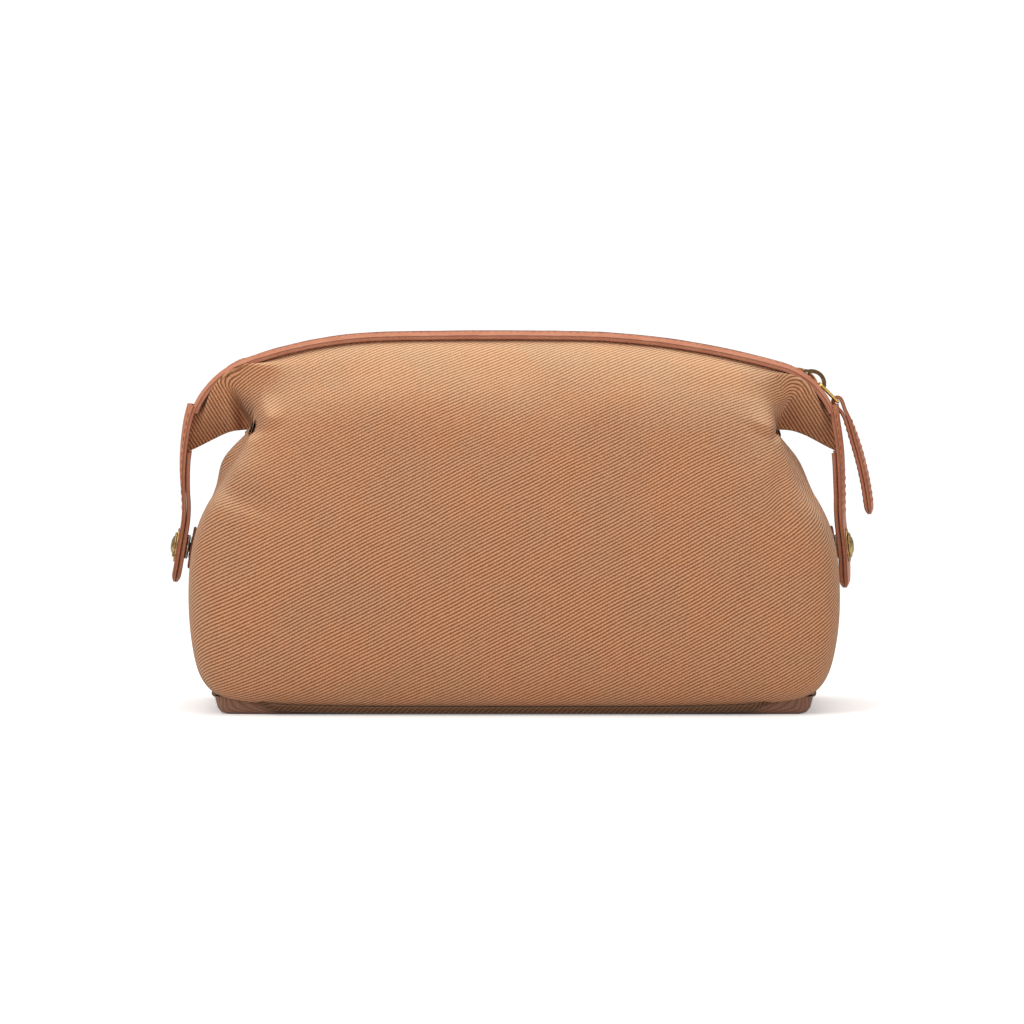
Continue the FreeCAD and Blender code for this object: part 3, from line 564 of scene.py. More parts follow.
# ---------------------------------------------------------------- zip and trims
def strap_outline(half_width, thickness, corner=0.35, across=13):
    """Closed outline of a strap's section as (across, out), and how much each point belongs to a cut edge."""
    corner = min(corner, half_width * 0.6, thickness * 0.45)
    flat = np.linspace(-1, 1, across) * (half_width - corner)
    turn = np.radians((67.5, 45.0, 22.5, 0.0))
    cx, cz = half_width - corner, thickness / 2 - corner
    top = np.column_stack([flat, np.full(across, thickness / 2)])
    corner_top = np.column_stack([cx + corner * np.cos(turn), cz + corner * np.sin(turn)])
    side = np.array([[half_width, 0.0]])
    corner_low = corner_top[::-1] * (1, -1)
    right = np.concatenate([corner_top, side, corner_low])
    low = top[::-1] * (1, -1)
    left = right[::-1] * (-1, 1)
    outline = np.concatenate([top, right, low, left])
    corner_mark = np.array((0.6, 1.0, 0.9, 0.7))
    edge_mark = np.concatenate([corner_mark, [0.6], corner_mark[::-1]])
    face_mark = np.zeros(across)
    mark = np.concatenate([face_mark, edge_mark, face_mark, edge_mark])
    return outline, mark


def half_ranges(low, high, steps):
    """The two halves of a run of arc lengths, split where the canvas is split."""
    yield "left", np.linspace(low, 0.0, steps)
    yield "right", np.linspace(0.0, high, steps)


def trims(material):
    """Leather trims: domed a little, dipped along the stitches, with the cut edge showing."""
    half = (TRIM_Y[1] - TRIM_Y[0]) / 2
    outline, mark = strap_outline(half, TRIM_T)
    a, b = outline[:, 0], outline[:, 1]
    dome = np.where(b > 0, 0.28 * (1 - (a / half) ** 2) - 0.32 * bump(a, SEWN_INSET - half, 0.5), 0.0)
    around = np.cumsum(np.linalg.norm(np.diff(outline, axis=0, prepend=outline[-1:]), axis=1))
    for side, name in PANELS:
        for end, s in half_ranges(S_LEFT, S_RIGHT, 240):
            sway = 0.14 * soft_noise(s, 0 * s, 9.0, 5 + side)[:, None]
            y = half + TRIM_Y[0] + a[None] * cos(TRIM_TILT) + sway
            n = TRIM_TOP - TRIM_T / 2 - half * sin(TRIM_TILT) - a[None] * sin(TRIM_TILT) + (b + dome)[None]
            n = n + 0.08 * soft_noise(s[:, None], 3.0 * a[None], 5.0, 9 + side)
            x, z, _ = crown_at(s[:, None] + 0 * y, n - TRIM_TOP)
            stations = np.stack([x, side * y, z], -1)
            fabric = np.stack([s[:, None] + 0 * y, around[None] + 0 * y], -1)
            made = loft(f"{name}_trim_{end}", stations, material, fabric, np.tile(mark, (len(s), 1)))
            attach_half(made, name, end, "_trim")


def tapes(material):
    section = np.array(TAPE_SECTION)
    y_fine = np.linspace(section[0, 0], section[-1, 0], 15)
    n_fine = cubic_spline(section[:, 0], section[:, 1:], y_fine)[:, 0]
    first, last, share = TAPE_NARROWS
    for side, name in PANELS:
        for end, s in half_ranges(S_LEFT, S_RIGHT, 150):
            width = 1 + (share - 1) * smooth((abs(s) - first) / (last - first))[:, None]
            grids = []
            for lift in (TAPE_T / 2, -TAPE_T / 2):
                x, z, _ = crown_at(s[:, None] + 0 * y_fine, n_fine[None] * width + lift - TRIM_TOP)
                y = section[0, 0] + (y_fine[None] - section[0, 0]) * width
                grids.append(np.stack([x, side * y, z], -1))
            fabric = np.stack([s[:, None] + 0 * width * y_fine, y_fine[None] + 0 * s[:, None]], -1)
            made = sheet(f"{name}_zip_tape_{end}", grids[0], grids[1], material, fabric)
            attach_half(made, name, end, "_zip_tape")


def thread_copy(length, radius, sink):
    """One stitch along X: a short run of thread whose ends go down into the leather."""
    along = np.linspace(-1, 1, 9)
    turn = around(8)
    rings = []
    for t in along:
        r = radius * (1 - 0.35 * abs(t) ** 4)
        height = radius * 0.15 - sink * abs(t) ** 3
        rings.append([(t * length / 2, r * cos(k), height + r * sin(k)) for k in turn])
    return capped(rings)


def placed(copy, origin, along, across, out):
    points, faces = copy
    return origin + points[:, :1] * along + points[:, 1:2] * across + points[:, 2:3] * out, faces


def crown_axes(s):
    """Unit vectors along the zip, and out of it, at arc length s."""
    slope = float(crown_at(s)[2])
    return np.array([cos(slope), 0, -sin(slope)]), np.array([sin(slope), 0, cos(slope)])


def trim_stitches(material):
    copy = thread_copy(2.4, 0.34, 0.55)
    first, last = S_LEFT + 6, S_RIGHT - 5
    fall = SEWN_INSET * sin(TRIM_TILT)
    places = first + (np.arange(int((last - first) / SEWN_PITCH)) + 0.5) * SEWN_PITCH
    for side, name in PANELS:
        for end in ("left", "right"):
            copies = []
            for s in places:
                if (s < 0) != (end == "left"):
                    continue
                along, out = crown_axes(s)
                x, z, _ = crown_at(s, -fall - 0.12)
                origin = np.array([float(x), side * (TRIM_Y[0] + SEWN_INSET), float(z)])
                lean = np.array([0, side * sin(TRIM_TILT), 0])
                out = out * cos(TRIM_TILT) + lean
                along = along + np.array([0, 0.1, 0])
                along = along / np.linalg.norm(along)
                copies.append(placed(copy, origin, along, np.cross(out, along), out))
            made = joined(f"{name}_trim_stitching_{end}", copies, material)
            attach_half(made, name, end, "_trim_stitching")


def tooth_copy():
    """One zip tooth along Y towards the other tape: waisted, round-headed, gripping the tape's bead."""
    side = [(-TOOTH_ROOT, 0.75), (-2.3, 1.12), (-1.2, TOOTH_HALF_H), (-0.4, 1.0), (0.3, 0.95), (0.7, 0.72),
            (TOOTH_REACH, 0.3)]
    outline = np.array(side + [(y, -z) for y, z in side[::-1]])
    rings = []
    for x, scale in ((-0.5, 0.84), (-0.36, 1.0), (0.36, 1.0), (0.5, 0.84)):
        centre = outline.mean(0)
        ring = centre + (outline - centre) * scale
        rings.append(np.column_stack([np.full(len(ring), x * TOOTH_T), ring]))
    return capped(rings)


def teeth(material):
    copy = tooth_copy()
    rows = {("front", "left"): [], ("front", "right"): [], ("back", "left"): [], ("back", "right"): []}
    s, k = SLIDER_S - 0.6, 0
    while s > S_LEFT + 9:
        name, reach = (("back", -1.0) if k % 2 else ("front", 1.0))
        along, out = crown_axes(s)
        x, z, _ = crown_at(s, -TRIM_TOP)
        origin = np.array([float(x), 0.0, float(z)])
        tooth = placed(copy, origin, along, np.array([0, reach, 0]), out)
        rows[name, "left" if s < 0 else "right"].append(tooth)
        line = RIGHT if s >= 0 else LEFT
        radius = line.radius_at(abs(s))
        s -= TOOTH_PITCH / 2 * radius / (radius - TRIM_TOP)
        k += 1
    for (name, end), copies in rows.items():
        made = joined(f"{name}_zip_teeth_{end}", copies, material)
        attach_half(made, name, end, "_zip_teeth")


# ---------------------------------------------------------------- bottom
def piping(material):
    """Cord round the bottom seam, one length along the front and one along the back."""
    v = 0.012 + 0.976 * np.linspace(0, 1, 361)
    face = canvas_face(np.linspace(0, 0.02, 3), v)[0]
    out = normals_of(face)
    # the cord sinks behind the canvas at the corners, and half into the ends
    tucked = smooth((abs(face[0][:, :1]) - 100) / 10) * (1.6 + 1.7 * smooth((abs(face[0][:, 1:2]) - 30) / 10))
    line = face[0] + out[0] * (CORD_R + 0.2 - tucked)
    line[:, 1] = np.minimum(line[:, 1], -SEAM_GAP)
    along = unit(np.gradient(line, axis=0))
    side = unit(np.cross(along, out[0]))
    up = np.cross(side, along)
    turn = around(18)
    run = run_along(line)
    r = CORD_R - 0.12 + 0.1 * np.cos(2 * turn[None] - run[:, None] * 2 * pi / 2.6)
    stations = (line[:, None] + side[:, None] * (r * np.cos(turn))[..., None]
                + up[:, None] * (r * np.sin(turn))[..., None])
    stations[..., 2] = np.maximum(stations[..., 2], 0.05)
    fabric = np.stack([run[:, None] + 0 * turn, CORD_R * turn[None] + 0 * run[:, None]], -1)
    for name, grid in (("front", stations), ("back", mirror_y(stations))):
        attach(loft(f"{name}_piping", grid, material, fabric), "bottom_piping")


def rounded_floor(aa, bb, half_x, half_y, cut, power):
    """Places over a rectangle whose corners are drawn in."""
    corner = cut * aa ** power * bb ** power
    return (abs(aa) * half_x - corner) * np.sign(aa), (abs(bb) * half_y - corner) * np.sign(bb)


def bottom(tray_material, lining_material):
    """The bottom cloth, with its rim turned up to the seam, and the lining that lies on its board."""
    hx, hy = BASE_HALF_X - 0.9, BASE_HALF_Y - 1.6
    quarter = pi / 2
    a, b = np.sin(np.linspace(-quarter, quarter, 191)), np.sin(np.linspace(-quarter, quarter, 101))
    aa, bb = np.meshgrid(a, b)
    ends = np.interp(abs(aa), (0, 0.955, 0.98, 0.992, 1.0), (0, 0, 0.8, 2.6, 6.4))
    brim = 1.8 + 4.6 * smooth((abs(aa) * hx - 102) / 16)
    sides = brim * np.interp(abs(bb), (0, 0.92, 0.965, 0.985, 1.0), (0, 0, 0.14, 0.42, 1.0))
    x, y = rounded_floor(aa, bb, hx, hy, 3.2, 16)
    z = np.maximum(ends, sides)
    grids = [np.stack([x, y, z + lift], -1) for lift in (0.0, FLOOR_T - 0.1)]
    tray = sheet("bottom_canvas", grids[0], grids[1], tray_material, np.stack([x, y], -1))
    attach(tray, "bottom_panel")

    x, y = rounded_floor(aa, bb, 112, 44, 9.0, 6)
    z = 3.35 + 0.25 * smooth(1 + soft_noise(x, y, 17.0, 31)) * (1 - aa ** 6) * (1 - bb ** 6)
    grids = [np.stack([x, y, z + lift], -1) for lift in (0.0, 0.5)]
    pad = sheet("bottom_lining_cloth", grids[0], grids[1], lining_material, np.stack([x, y], -1))
    attach(pad, "bottom_lining")


# ---------------------------------------------------------------- leather straps
class Ribbon:
    """A strap's middle line in the X-Z plane, with its half width along the line."""

    def __init__(self, points, side, half_widths, taper=0.6, rounding=0.13, cup=0.0, twist=0.0):
        self.side, self.half_widths, self.twist = side, half_widths, twist
        self.taper, self.rounding, self.cup = taper, rounding, cup
        points = np.array(points, float)
        self.knots = run_along(points)
        self.length = self.knots[-1]
        self.knots = self.knots / self.length
        self.points = points

    def frame(self, share):
        """Points on the line, and directions square to it, away from the bag."""
        share = np.atleast_1d(np.asarray(share, float))
        at = cubic_spline(self.knots, self.points, share)
        ahead = cubic_spline(self.knots, self.points, share + 1e-4)
        tangent = unit(ahead - at)
        zero = np.zeros(len(at))
        point = np.stack([at[:, 0], zero, at[:, 1]], -1)
        turn = self.twist * smooth(share / 0.45)[:, None]
        square = np.stack([-tangent[:, 1], zero, tangent[:, 0]], -1) * self.side
        return point, square * np.cos(turn) + np.array([[0.0, -1.0, 0.0]]) * np.sin(turn)

    def across(self, share):
        """Unit vector along the strap's width, towards the back of the bag."""
        outward = self.frame(share)[1]
        back = np.array([[0.0, 1.0, 0.0]])
        return unit(back - outward * (outward * back).sum(1, keepdims=True))

    def share_at(self, z):
        shares = np.linspace(0, 1, 2001)
        return shares[np.argmax(self.frame(shares)[0][:, 2] < z)]

    def half_width(self, share):
        top, low = self.half_widths
        width = top + (low - top) * np.minimum(1.0, share / self.taper)
        k = np.clip((share - 1 + self.rounding) / self.rounding, 0, 1)
        return width * np.sqrt(np.maximum(0.0, 1 - (0.985 * k) ** 2))

    def hollow(self, share):
        return self.cup * np.maximum(0.0, 1 - share / 0.5)


def worn_end(ribbon, share):
    """Share of its thickness that a strap keeps, which falls over its last millimetres."""
    return 0.4 + 0.6 * np.sqrt(smooth((1 - share) * ribbon.length / 3.2))


def worn_section(ribbon, share, thickness, points, dome, dip, inset, dip_width):
    """Section of a strap, domed on top with a dip along each row of stitches, worn thin at its end."""
    half = float(ribbon.half_width(share))
    outline, mark = strap_outline(half, thickness * worn_end(ribbon, share), 0.3, points)
    a, b = outline[:, 0], outline[:, 1]
    wide = a / max(half, 0.5)
    swell = np.where(b > 0, dome * (1 - wide ** 2) - dip * bump(abs(a), half - inset, dip_width), 0.0)
    return a, b, swell, wide, mark


def ply(name, ribbon, n0, n1, material, first=0.0, seed=3):
    """One leather ply between two distances from the ribbon's middle line."""
    shares = first + (1 - first) * (1 - (1 - np.linspace(0, 1, 110)) ** 1.5)
    point, outward = ribbon.frame(shares)
    across = ribbon.across(shares)
    stations, marks, fabric = [], [], []
    for k, share in enumerate(shares):
        a, b, swell, wide, mark = worn_section(ribbon, share, n1 - n0, 15, 0.12, 0.3, 2.2, 0.5)
        sag = ribbon.hollow(share) * wide ** 2
        # hand-cut edges wander a little
        wander = 0.16 * soft_noise(share * ribbon.length, np.sign(a) * 9.0, 7.0, seed)
        middle = (n0 + n1) / 2 * worn_end(ribbon, share)
        out = middle + b + swell - sag
        y = a + wander * wide
        stations.append(point[k] + outward[k] * out[:, None] + across[k] * y[:, None])
        marks.append(mark)
        along = share * ribbon.length
        fabric.append(np.column_stack([np.full(len(a), along), a + np.where(b > 0, 0, 40.0)]))
    return loft(name, stations, material, fabric, marks)


def ribbon_stitches(ribbon, shares, n, inset, skip, length=2.5):
    """Stitches down both edges of the ribbon's face that stands n off its middle line."""
    copy = thread_copy(length, 0.3, 0.5)
    copies = []
    for share in shares:
        if skip[0] < share < skip[1]:
            continue
        point, outward = ribbon.frame(share)
        half = float(ribbon.half_width(share)) - inset
        curl = float(ribbon.hollow(share)) * (half / (half + inset)) ** 2
        up = outward[0] * (1 if n > 0 else -1)
        across = ribbon.across(share)[0]
        along = np.cross(outward[0], across)
        for edge in (-1, 1):
            origin = point[0] + outward[0] * (n - curl) + across * edge * half
            copies.append(placed(copy, origin, along, np.cross(up, along), up))
    return copies


def tab_ribbon(side):
    """End tab from its top, over the ear's tip, past the snap to the free end."""
    foot = S_RIGHT if side > 0 else S_LEFT
    x, z, _ = crown_at(foot - side * 2.2, 0.9)
    top = (float(x), float(z))
    if side > 0:
        points = [top, (138.1, 124.4), (139.3, 116), (140.2, 106), (140.2, 96), (140.0, 87), (140.5, 78),
                  (141.6, 69), (142.2, 60), (142.4, 51)]
        return Ribbon(points, side, TAB_HALF_W, cup=3.0, twist=radians(7))
    points = [top, (-139.8, 124.4), (-141.1, 116), (-141.8, 106), (-141.5, 96), (-140.8, 87), (-141.4, 78),
              (-143.0, 69), (-144.3, 61), (-145.8, 53.5)]
    return Ribbon(points, side, TAB_HALF_W, cup=3.0, twist=radians(3))


def tabs(leather, thread):
    """End tabs: an outer and a shorter inner ply, sewn together."""
    face = TAB_GAP + TAB_PLY
    for side, name in TAB_SIDES:
        ribbon = tab_ribbon(side)
        inner_top = ribbon.share_at(TAB_INNER_TOP_Z + 1.8)
        outer = ply(name + "_tab_outer", ribbon, TAB_GAP, face, leather, 0.0, 3 + side)
        inner = ply(name + "_tab_inner", ribbon, -face, -TAB_GAP, leather, inner_top, 7 + side)
        shares = np.linspace(0.06, 0.84, 19)
        stitches = ribbon_stitches(ribbon, shares, face - 0.02, TAB_SEWN_INSET, UNSEWN_AT_SNAP)
        sewn = joined(name + "_tab_thread", stitches, thread)
        pieces = ((outer, "_tab_outer_ply", "leather"), (inner, "_tab_inner_ply", "leather"),
                  (sewn, "_tab_stitching", "thread"))
        for made, node, slot in pieces:
            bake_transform(made)
            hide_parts(name + node)


def snap_axes(ribbon):
    """Where a snap's axis crosses the tab's middle line, and its directions out, along and across."""
    share = ribbon.share_at(SNAP_Z)
    point, outward = ribbon.frame(share)
    across = ribbon.across(share)[0]
    return point[0], outward[0], np.cross(outward[0], across), across


def turned(name, ribbon, n, profile, material, node, body, bumps=0.0):
    """Piece turned on the snap's axis: profile points are (radius, height), and bumps ripples its rim."""
    point, outward, along, across = snap_axes(ribbon)
    turn = around(96)
    stations = []
    for radius, height in profile:
        r = radius * (1 + bumps * np.cos(24 * turn) * (radius > 4.8))
        ring = point + outward * (n + height)
        stations.append(ring + np.outer(r * np.cos(turn), along) + np.outer(r * np.sin(turn), across))
    attach(loft(name, stations, material, np.array(stations)), node, body)


PLATE_PROFILE = (
    (0.02, 0.0), (6.9, 0.0), (7.25, 0.15), (7.35, 0.4), (7.2, 0.7), (6.8, 0.78), (6.3, 0.62), (5.6, 0.5),
    (0.02, 0.5))
CAP_PROFILE = (
    (0.02, 0.1), (4.6, 0.1), (5.15, 0.25), (5.35, 0.6), (5.2, 1.0), (4.8, 1.2), (4.4, 1.12), (4.1, 1.1),
    (3.8, 1.3), (3.4, 1.68), (2.7, 2.0), (1.6, 2.2), (0.02, 2.28))
SOCKET_PROFILE = (
    (0.02, 0.2), (1.9, 0.2), (2.1, 0.0), (4.4, 0.0), (5.0, 0.15), (5.2, 0.5), (5.2, 1.2), (4.9, 1.5),
    (0.02, 1.5))
STUD_PROFILE = (
    (0.02, 0.0), (4.4, 0.0), (4.6, 0.15), (4.5, 0.35), (2.2, 0.4), (1.6, 0.7), (1.45, 1.1), (1.75, 1.5),
    (1.6, 1.75), (0.02, 1.85))
# the patch's rings from its underside to its face: size, height and how much they belong to the cut edge
PATCH_RINGS = (
    (0.01, 0.0, 0), (0.5, 0.0, 0), (0.95, 0.0, 0.2), (1.0, 0.2, 1), (1.0, 0.9, 1), (0.97, 1.12, 0.9),
    (0.93, 1.2, 0.1), (0.5, 1.2, 0), (0.01, 1.2, 0))
PATCH_HALF_W = 8.9


def snaps(leather, brass, steel):
    """Snap fastener of each tab: plate and cap outside, socket inside, stud on a leather patch on the bag."""
    face = TAB_PLY + TAB_GAP
    seat_n = -face - 3.4
    for side, name in TAB_SIDES:
        ribbon = tab_ribbon(side)
        snap, tab = name + "_snap_", name + "_tab"
        turned(name + "_plate", ribbon, face - 0.1, PLATE_PROFILE, brass, snap + "plate", tab)
        turned(name + "_cap", ribbon, face + 0.45, CAP_PROFILE, brass, snap + "cap", tab, 0.012)
        turned(name + "_socket", ribbon, -face - 1.55, SOCKET_PROFILE, steel, snap + "socket", tab)
        turned(name + "_stud", ribbon, seat_n + 1.2, STUD_PROFILE, steel, snap + "stud", "base")

        point, outward, along, across = snap_axes(ribbon)
        seat = point + outward * seat_n
        turn = around(72)
        square = np.stack([np.cos(turn), np.sin(turn)], -1)
        square = np.sign(square) * abs(square) ** 0.45
        stations, marks, fabric = [], [], []
        for size, height, mark in PATCH_RINGS:
            ring = square * PATCH_HALF_W * size
            flat = np.outer(ring[:, 0], along) + np.outer(ring[:, 1], across)
            stations.append(seat + flat + outward * height)
            marks.append(np.full(72, mark))
            fabric.append(ring)
        attach(loft(name + "_patch", stations, leather, fabric, marks), name + "_snap_patch")


def pull(leather, thread):
    """The pull: one strap folded over the ring, its two plies sewn together below the fold."""
    x, z, slope = (float(k) for k in crown_at(SLIDER_S, SLIDER_N - TRIM_TOP))
    near = np.array([x + RING_AT[0] * cos(slope) + RING_AT[1] * sin(slope),
                     z - RING_AT[0] * sin(slope) + RING_AT[1] * cos(slope)])
    bar = near + np.array([cos(RING_SLOPE), -sin(RING_SLOPE)]) * RING_LENGTH
    fall = ((0, 0), (3.4, -5.7), (6.2, -12.9), (8.9, -21.4), (11.2, -30.4), (12.9, -39.4), (14.0, -48.4))
    ribbon = Ribbon([bar + np.array(step) for step in fall], 1, PULL_HALF_W, taper=0.24, rounding=0.11,
                    twist=radians(9))

    def beside(share, face):
        point, outward = ribbon.frame(share)
        spread = max(0.0, 1 - share / 0.11)
        out = (PULL_PLY / 2 + 0.05) * worn_end(ribbon, share) + 1.0 * spread * spread * (3 - 2 * spread)
        return point[0] + outward[0] * face * out

    centre, outward = ribbon.frame(0.0)
    centre, outward = centre[0], outward[0]
    along = np.array([-outward[2], 0, outward[0]])
    along = along * (1 if along[2] > 0 else -1)
    reach = PULL_PLY / 2 + 1.05
    shares = list(1 - np.arange(46) / 46)
    turns = [radians(t) for t in range(180, -1, -15)]
    fold = [centre + outward * reach * cos(t) + along * reach * sin(t) for t in turns]
    path = np.array([beside(k, -1) for k in shares] + fold + [beside(k, 1) for k in shares[::-1]])
    widths = shares + [0.0] * len(fold) + shares[::-1]
    width_way = ribbon.across(widths)
    facing = np.array([outward * cos(t) + along * sin(t) for t in turns])
    out = np.concatenate([-ribbon.frame(shares)[1], facing, ribbon.frame(shares[::-1])[1]])
    run = run_along(path)
    stations, marks, fabric = [], [], []
    for k, share in enumerate(widths):
        a, b, swell, _, mark = worn_section(ribbon, share, PULL_PLY, 11, 0.14, 0.28, 1.7, 0.45)
        stations.append(path[k] + out[k] * (b + swell)[:, None] + width_way[k] * a[:, None])
        marks.append(mark)
        fabric.append(np.column_stack([np.full(len(a), run[k]), a + np.where(b > 0, 0, 30.0)]))
    strap = loft("pull_leather", stations, leather, fabric, marks)
    sewn = []
    for n in (PULL_PLY + 0.05, -PULL_PLY - 0.05):
        sewn += ribbon_stitches(ribbon, np.linspace(0.2, 0.88, 13), n, 1.7, (2.0, 2.0), 2.3)
    attach(strap, "pull_strap", "pull")
    attach(joined("pull_thread", sewn, thread), "pull_stitching", "pull")


# ---------------------------------------------------------------- materials
def linear(red, green, blue):
    """sRGB 0-255 to a linear colour."""
    def one(c):
        c /= 255.0
        return c / 12.92 if c <= 0.04045 else ((c + 0.055) / 1.055) ** 2.4
    return one(red), one(green), one(blue), 1.0


class Value:
    """One output of a shader node, ready for plain arithmetic."""

    def __init__(self, shader, socket):
        self.shader, self.socket = shader, socket

    def __add__(self, other):
        return self.shader.math("ADD", self, other)

    def __sub__(self, other):
        return self.shader.math("SUBTRACT", self, other)

    def __rsub__(self, other):
        return self.shader.math("SUBTRACT", other, self)

    def __mul__(self, other):
        return self.shader.math("MULTIPLY", self, other)

    def __truediv__(self, other):
        return self.shader.math("DIVIDE", self, other)

    def wave(self, power=1.0):
        """Row of rounded humps, one to each unit."""
        humps = self.shader.math("ABSOLUTE", self.shader.math("SINE", self * pi))
        return self.shader.math("POWER", humps, power)


class Shader:
    """Short-hand for building a material's nodes."""

    def __init__(self, name):
        self.material = bpy.data.materials.new(name)
        self.material.use_nodes = True
        self.tree = self.material.node_tree
        self.bsdf = self.tree.nodes["Principled BSDF"]

    def give(self, socket, value):
        if isinstance(value, Value):
            self.tree.links.new(value.socket, socket)
        else:
            socket.default_value = value

    def node(self, kind, inputs=None, output=0, **settings):
        made = self.tree.nodes.new("ShaderNode" + kind)
        for key, value in settings.items():
            setattr(made, key, value)
        for key, value in (inputs or {}).items():
            self.give(made.inputs[key], value)
        return Value(self, made.outputs[output])

    def math(self, operation, *values):
        return self.node("Math", dict(enumerate(values)), operation=operation)

    def vector_math(self, operation, first, second, output=0):
        return self.node("VectorMath", {0: first, 1: second}, output, operation=operation)

    def mix(self, factor, low, high, kind="MIX"):
        return self.node("Mix", {"Factor": factor, 6: low, 7: high}, 2, data_type="RGBA", blend_type=kind)

    def span(self, value, low, high, to_low=0.0, to_high=1.0):
        ends = {"From Min": low, "From Max": high, "To Min": to_low, "To Max": to_high}
        return self.node("MapRange", {"Value": value, **ends}, interpolation_type="SMOOTHSTEP")

    def noise(self, where, scale, detail=2.0, rough=0.55):
        inputs = {"Vector": where, "Scale": scale, "Detail": detail, "Roughness": rough}
        return self.node("TexNoise", inputs, "Fac")

    def set(self, **values):
        for key, value in values.items():
            self.give(self.bsdf.inputs[key.replace("_", " ")], value)

    def raise_by(self, height, distance, strength=1.0):
        bump_node = self.node("Bump", {"Height": height, "Distance": distance * MM, "Strength": strength})
        self.give(self.bsdf.inputs["Normal"], bump_node)

    def fabric(self):
        return self.node("Attribute", output="Vector", attribute_name="fabric")

    def rest_place(self):
        """Position on a frame node in mm, which stays with the node when it moves."""
        return self.vector_math("MULTIPLY", self.node("TexCoord", output="Object"), (1000, 1000, 1000))

    def split(self, vector):
        return [self.node("SeparateXYZ", {0: vector}, k) for k in range(3)]


def twill(name, rib, valley, pitch=1.37, angle=28.0, depth=0.22):
    """Twill weave: ribs rising to the right, each a row of short yarn floats."""
    m = Shader(name)
    where = m.fabric()
    x, y, _ = m.split(where)
    ca, sa = cos(radians(angle)), sin(radians(angle))
    wander = (m.noise(where, 0.03, 1.0) - 0.5) * 1.3
    tremble = (m.noise(where, 0.9, 1.0) - 0.5) * 0.34
    across = (y * ca - x * sa) / pitch + wander + tremble
    along = (x * ca + y * sa) / 1.35 + m.math("FLOOR", across) * 0.37
    height = across.wave(1.15) * (along.wave(0.45) * 0.46 + 0.54)
    fuzz = m.noise(where, 3.4, 3.0, 0.7)
    shade = m.span(height + (fuzz - 0.5) * 0.7, 0.12, 0.86)
    # painted top light: where the cloth faces up, its colour is painted paler and yellower for the light from
    # above, and its valleys are painted nearer the ribs' colour, since seen along the slope the ribs hide
    # them
    lie = m.split(m.node("NewGeometry", output="Normal"))[2]
    flat = m.span(lie, 0.42, 0.86)
    base = m.mix(shade + (1.0 - shade) * (flat * 0.22), valley, rib)
    # painted top light, multiplied into the colour of the up-facing cloth
    painted_top_light = m.mix(flat, (1, 1, 1, 1), (1.36, 1.66, 1.82, 1))
    blotch = m.span(m.noise(where, 0.035, 3.0), 0.35, 0.65)
    tint = m.mix(blotch, (1.03, 0.985, 0.95, 1), (0.97, 1.0, 1.02, 1))
    base = m.mix(1.0, m.mix(1.0, base, painted_top_light, "MULTIPLY"), tint, "MULTIPLY")
    m.set(Base_Color=base, Roughness=0.93, Specular_IOR_Level=0.12, Sheen_Weight=0.22, Sheen_Roughness=0.6,
          Sheen_Tint=(1.0, 0.86, 0.7, 1))
    m.raise_by(height + fuzz * 0.35, depth, 0.8)
    return m.material


def leather_look(name, face, dark, edge):
    m = Shader(name)
    where = m.fabric()
    cut = m.node("Attribute", output="Fac", attribute_name="cut_edge")
    cells = m.node("TexVoronoi", {"Vector": where, "Scale": 1.15, "Randomness": 1.0}, "Distance",
                   feature="DISTANCE_TO_EDGE")
    crease = m.span(cells, 0.0, 0.16)
    blotch = m.span(m.noise(where, 0.09, 4.0), 0.3, 0.7)
    streak = m.noise(m.vector_math("MULTIPLY", where, (0.16, 1.5, 1)), 1.0, 3.0)
    base = m.mix(blotch * 0.55, face, dark)
    base = m.mix((1.0 - crease) * 0.22, base, edge)
    base = m.mix(m.span(streak, 0.45, 0.75, 0.0, 0.25), base, dark)
    # cut edges take the edge colour: the leather's dark edge paint, darkened further as painted shade
    base = m.mix(m.span(cut, 0.35, 1.0, 0.0, 0.9), base, edge)
    m.set(Base_Color=base, Roughness=m.span(blotch, 0, 1, 0.46, 0.6), Specular_IOR_Level=0.42,
          Coat_Weight=0.06, Coat_Roughness=0.4)
    m.raise_by(crease * 0.7 + m.noise(where, 2.6, 3.0) * 0.6, 0.07, 0.8)
    return m.material


def thread_look(name, colour, dark):
    m = Shader(name)
    twist = m.node("TexWave", {"Vector": m.fabric(), "Scale": 1.5, "Distortion": 1.0}, "Fac",
                   bands_direction="DIAGONAL")
    m.set(Base_Color=m.mix(twist, dark, colour), Roughness=0.7, Specular_IOR_Level=0.3)
    m.raise_by(twist, 0.06, 0.7)
    return m.material


def metal_look(name, bright, dark, rough=(0.22, 0.5), tarnish=0.5, cloth_space=False):
    """Cast metal: darker and rougher where it has tarnished, with fine tumbling marks."""
    m = Shader(name)
    where = m.fabric() if cloth_space else m.rest_place()
    stain = m.span(m.noise(where, 0.45, 4.0, 0.65), 0.35, 0.7)
    base = m.mix(stain * tarnish, bright, dark)
    m.set(Base_Color=base, Metallic=1.0, Roughness=m.span(stain, 0, 1, rough[0], rough[1]))
    m.raise_by(m.noise(where, 9.0, 2.0), 0.015, 0.5)
    return m.material


def slider_look(point, out, height):
    """Nickel plates and a dark bronze bridge on one casting."""
    m = Shader("slider_finish")
    where = m.rest_place()
    away = m.vector_math("SUBTRACT", where, tuple(point))
    up = m.vector_math("DOT_PRODUCT", away, tuple(out), "Value")
    stain = m.span(m.noise(where, 0.6, 4.0, 0.65), 0.35, 0.7)
    bridge = m.span(up, height, height + 0.25)
    nickel = m.mix(stain * 0.35, linear(236, 232, 226), linear(168, 160, 150))
    bronze = m.mix(stain * 0.7, linear(112, 88, 58), linear(46, 34, 24))
    m.set(Base_Color=m.mix(bridge, nickel, bronze), Metallic=1.0, Roughness=m.span(bridge, 0, 1, 0.24, 0.36))
    m.raise_by(m.noise(where, 8.0, 2.0), 0.015, 0.5)
    return m.material


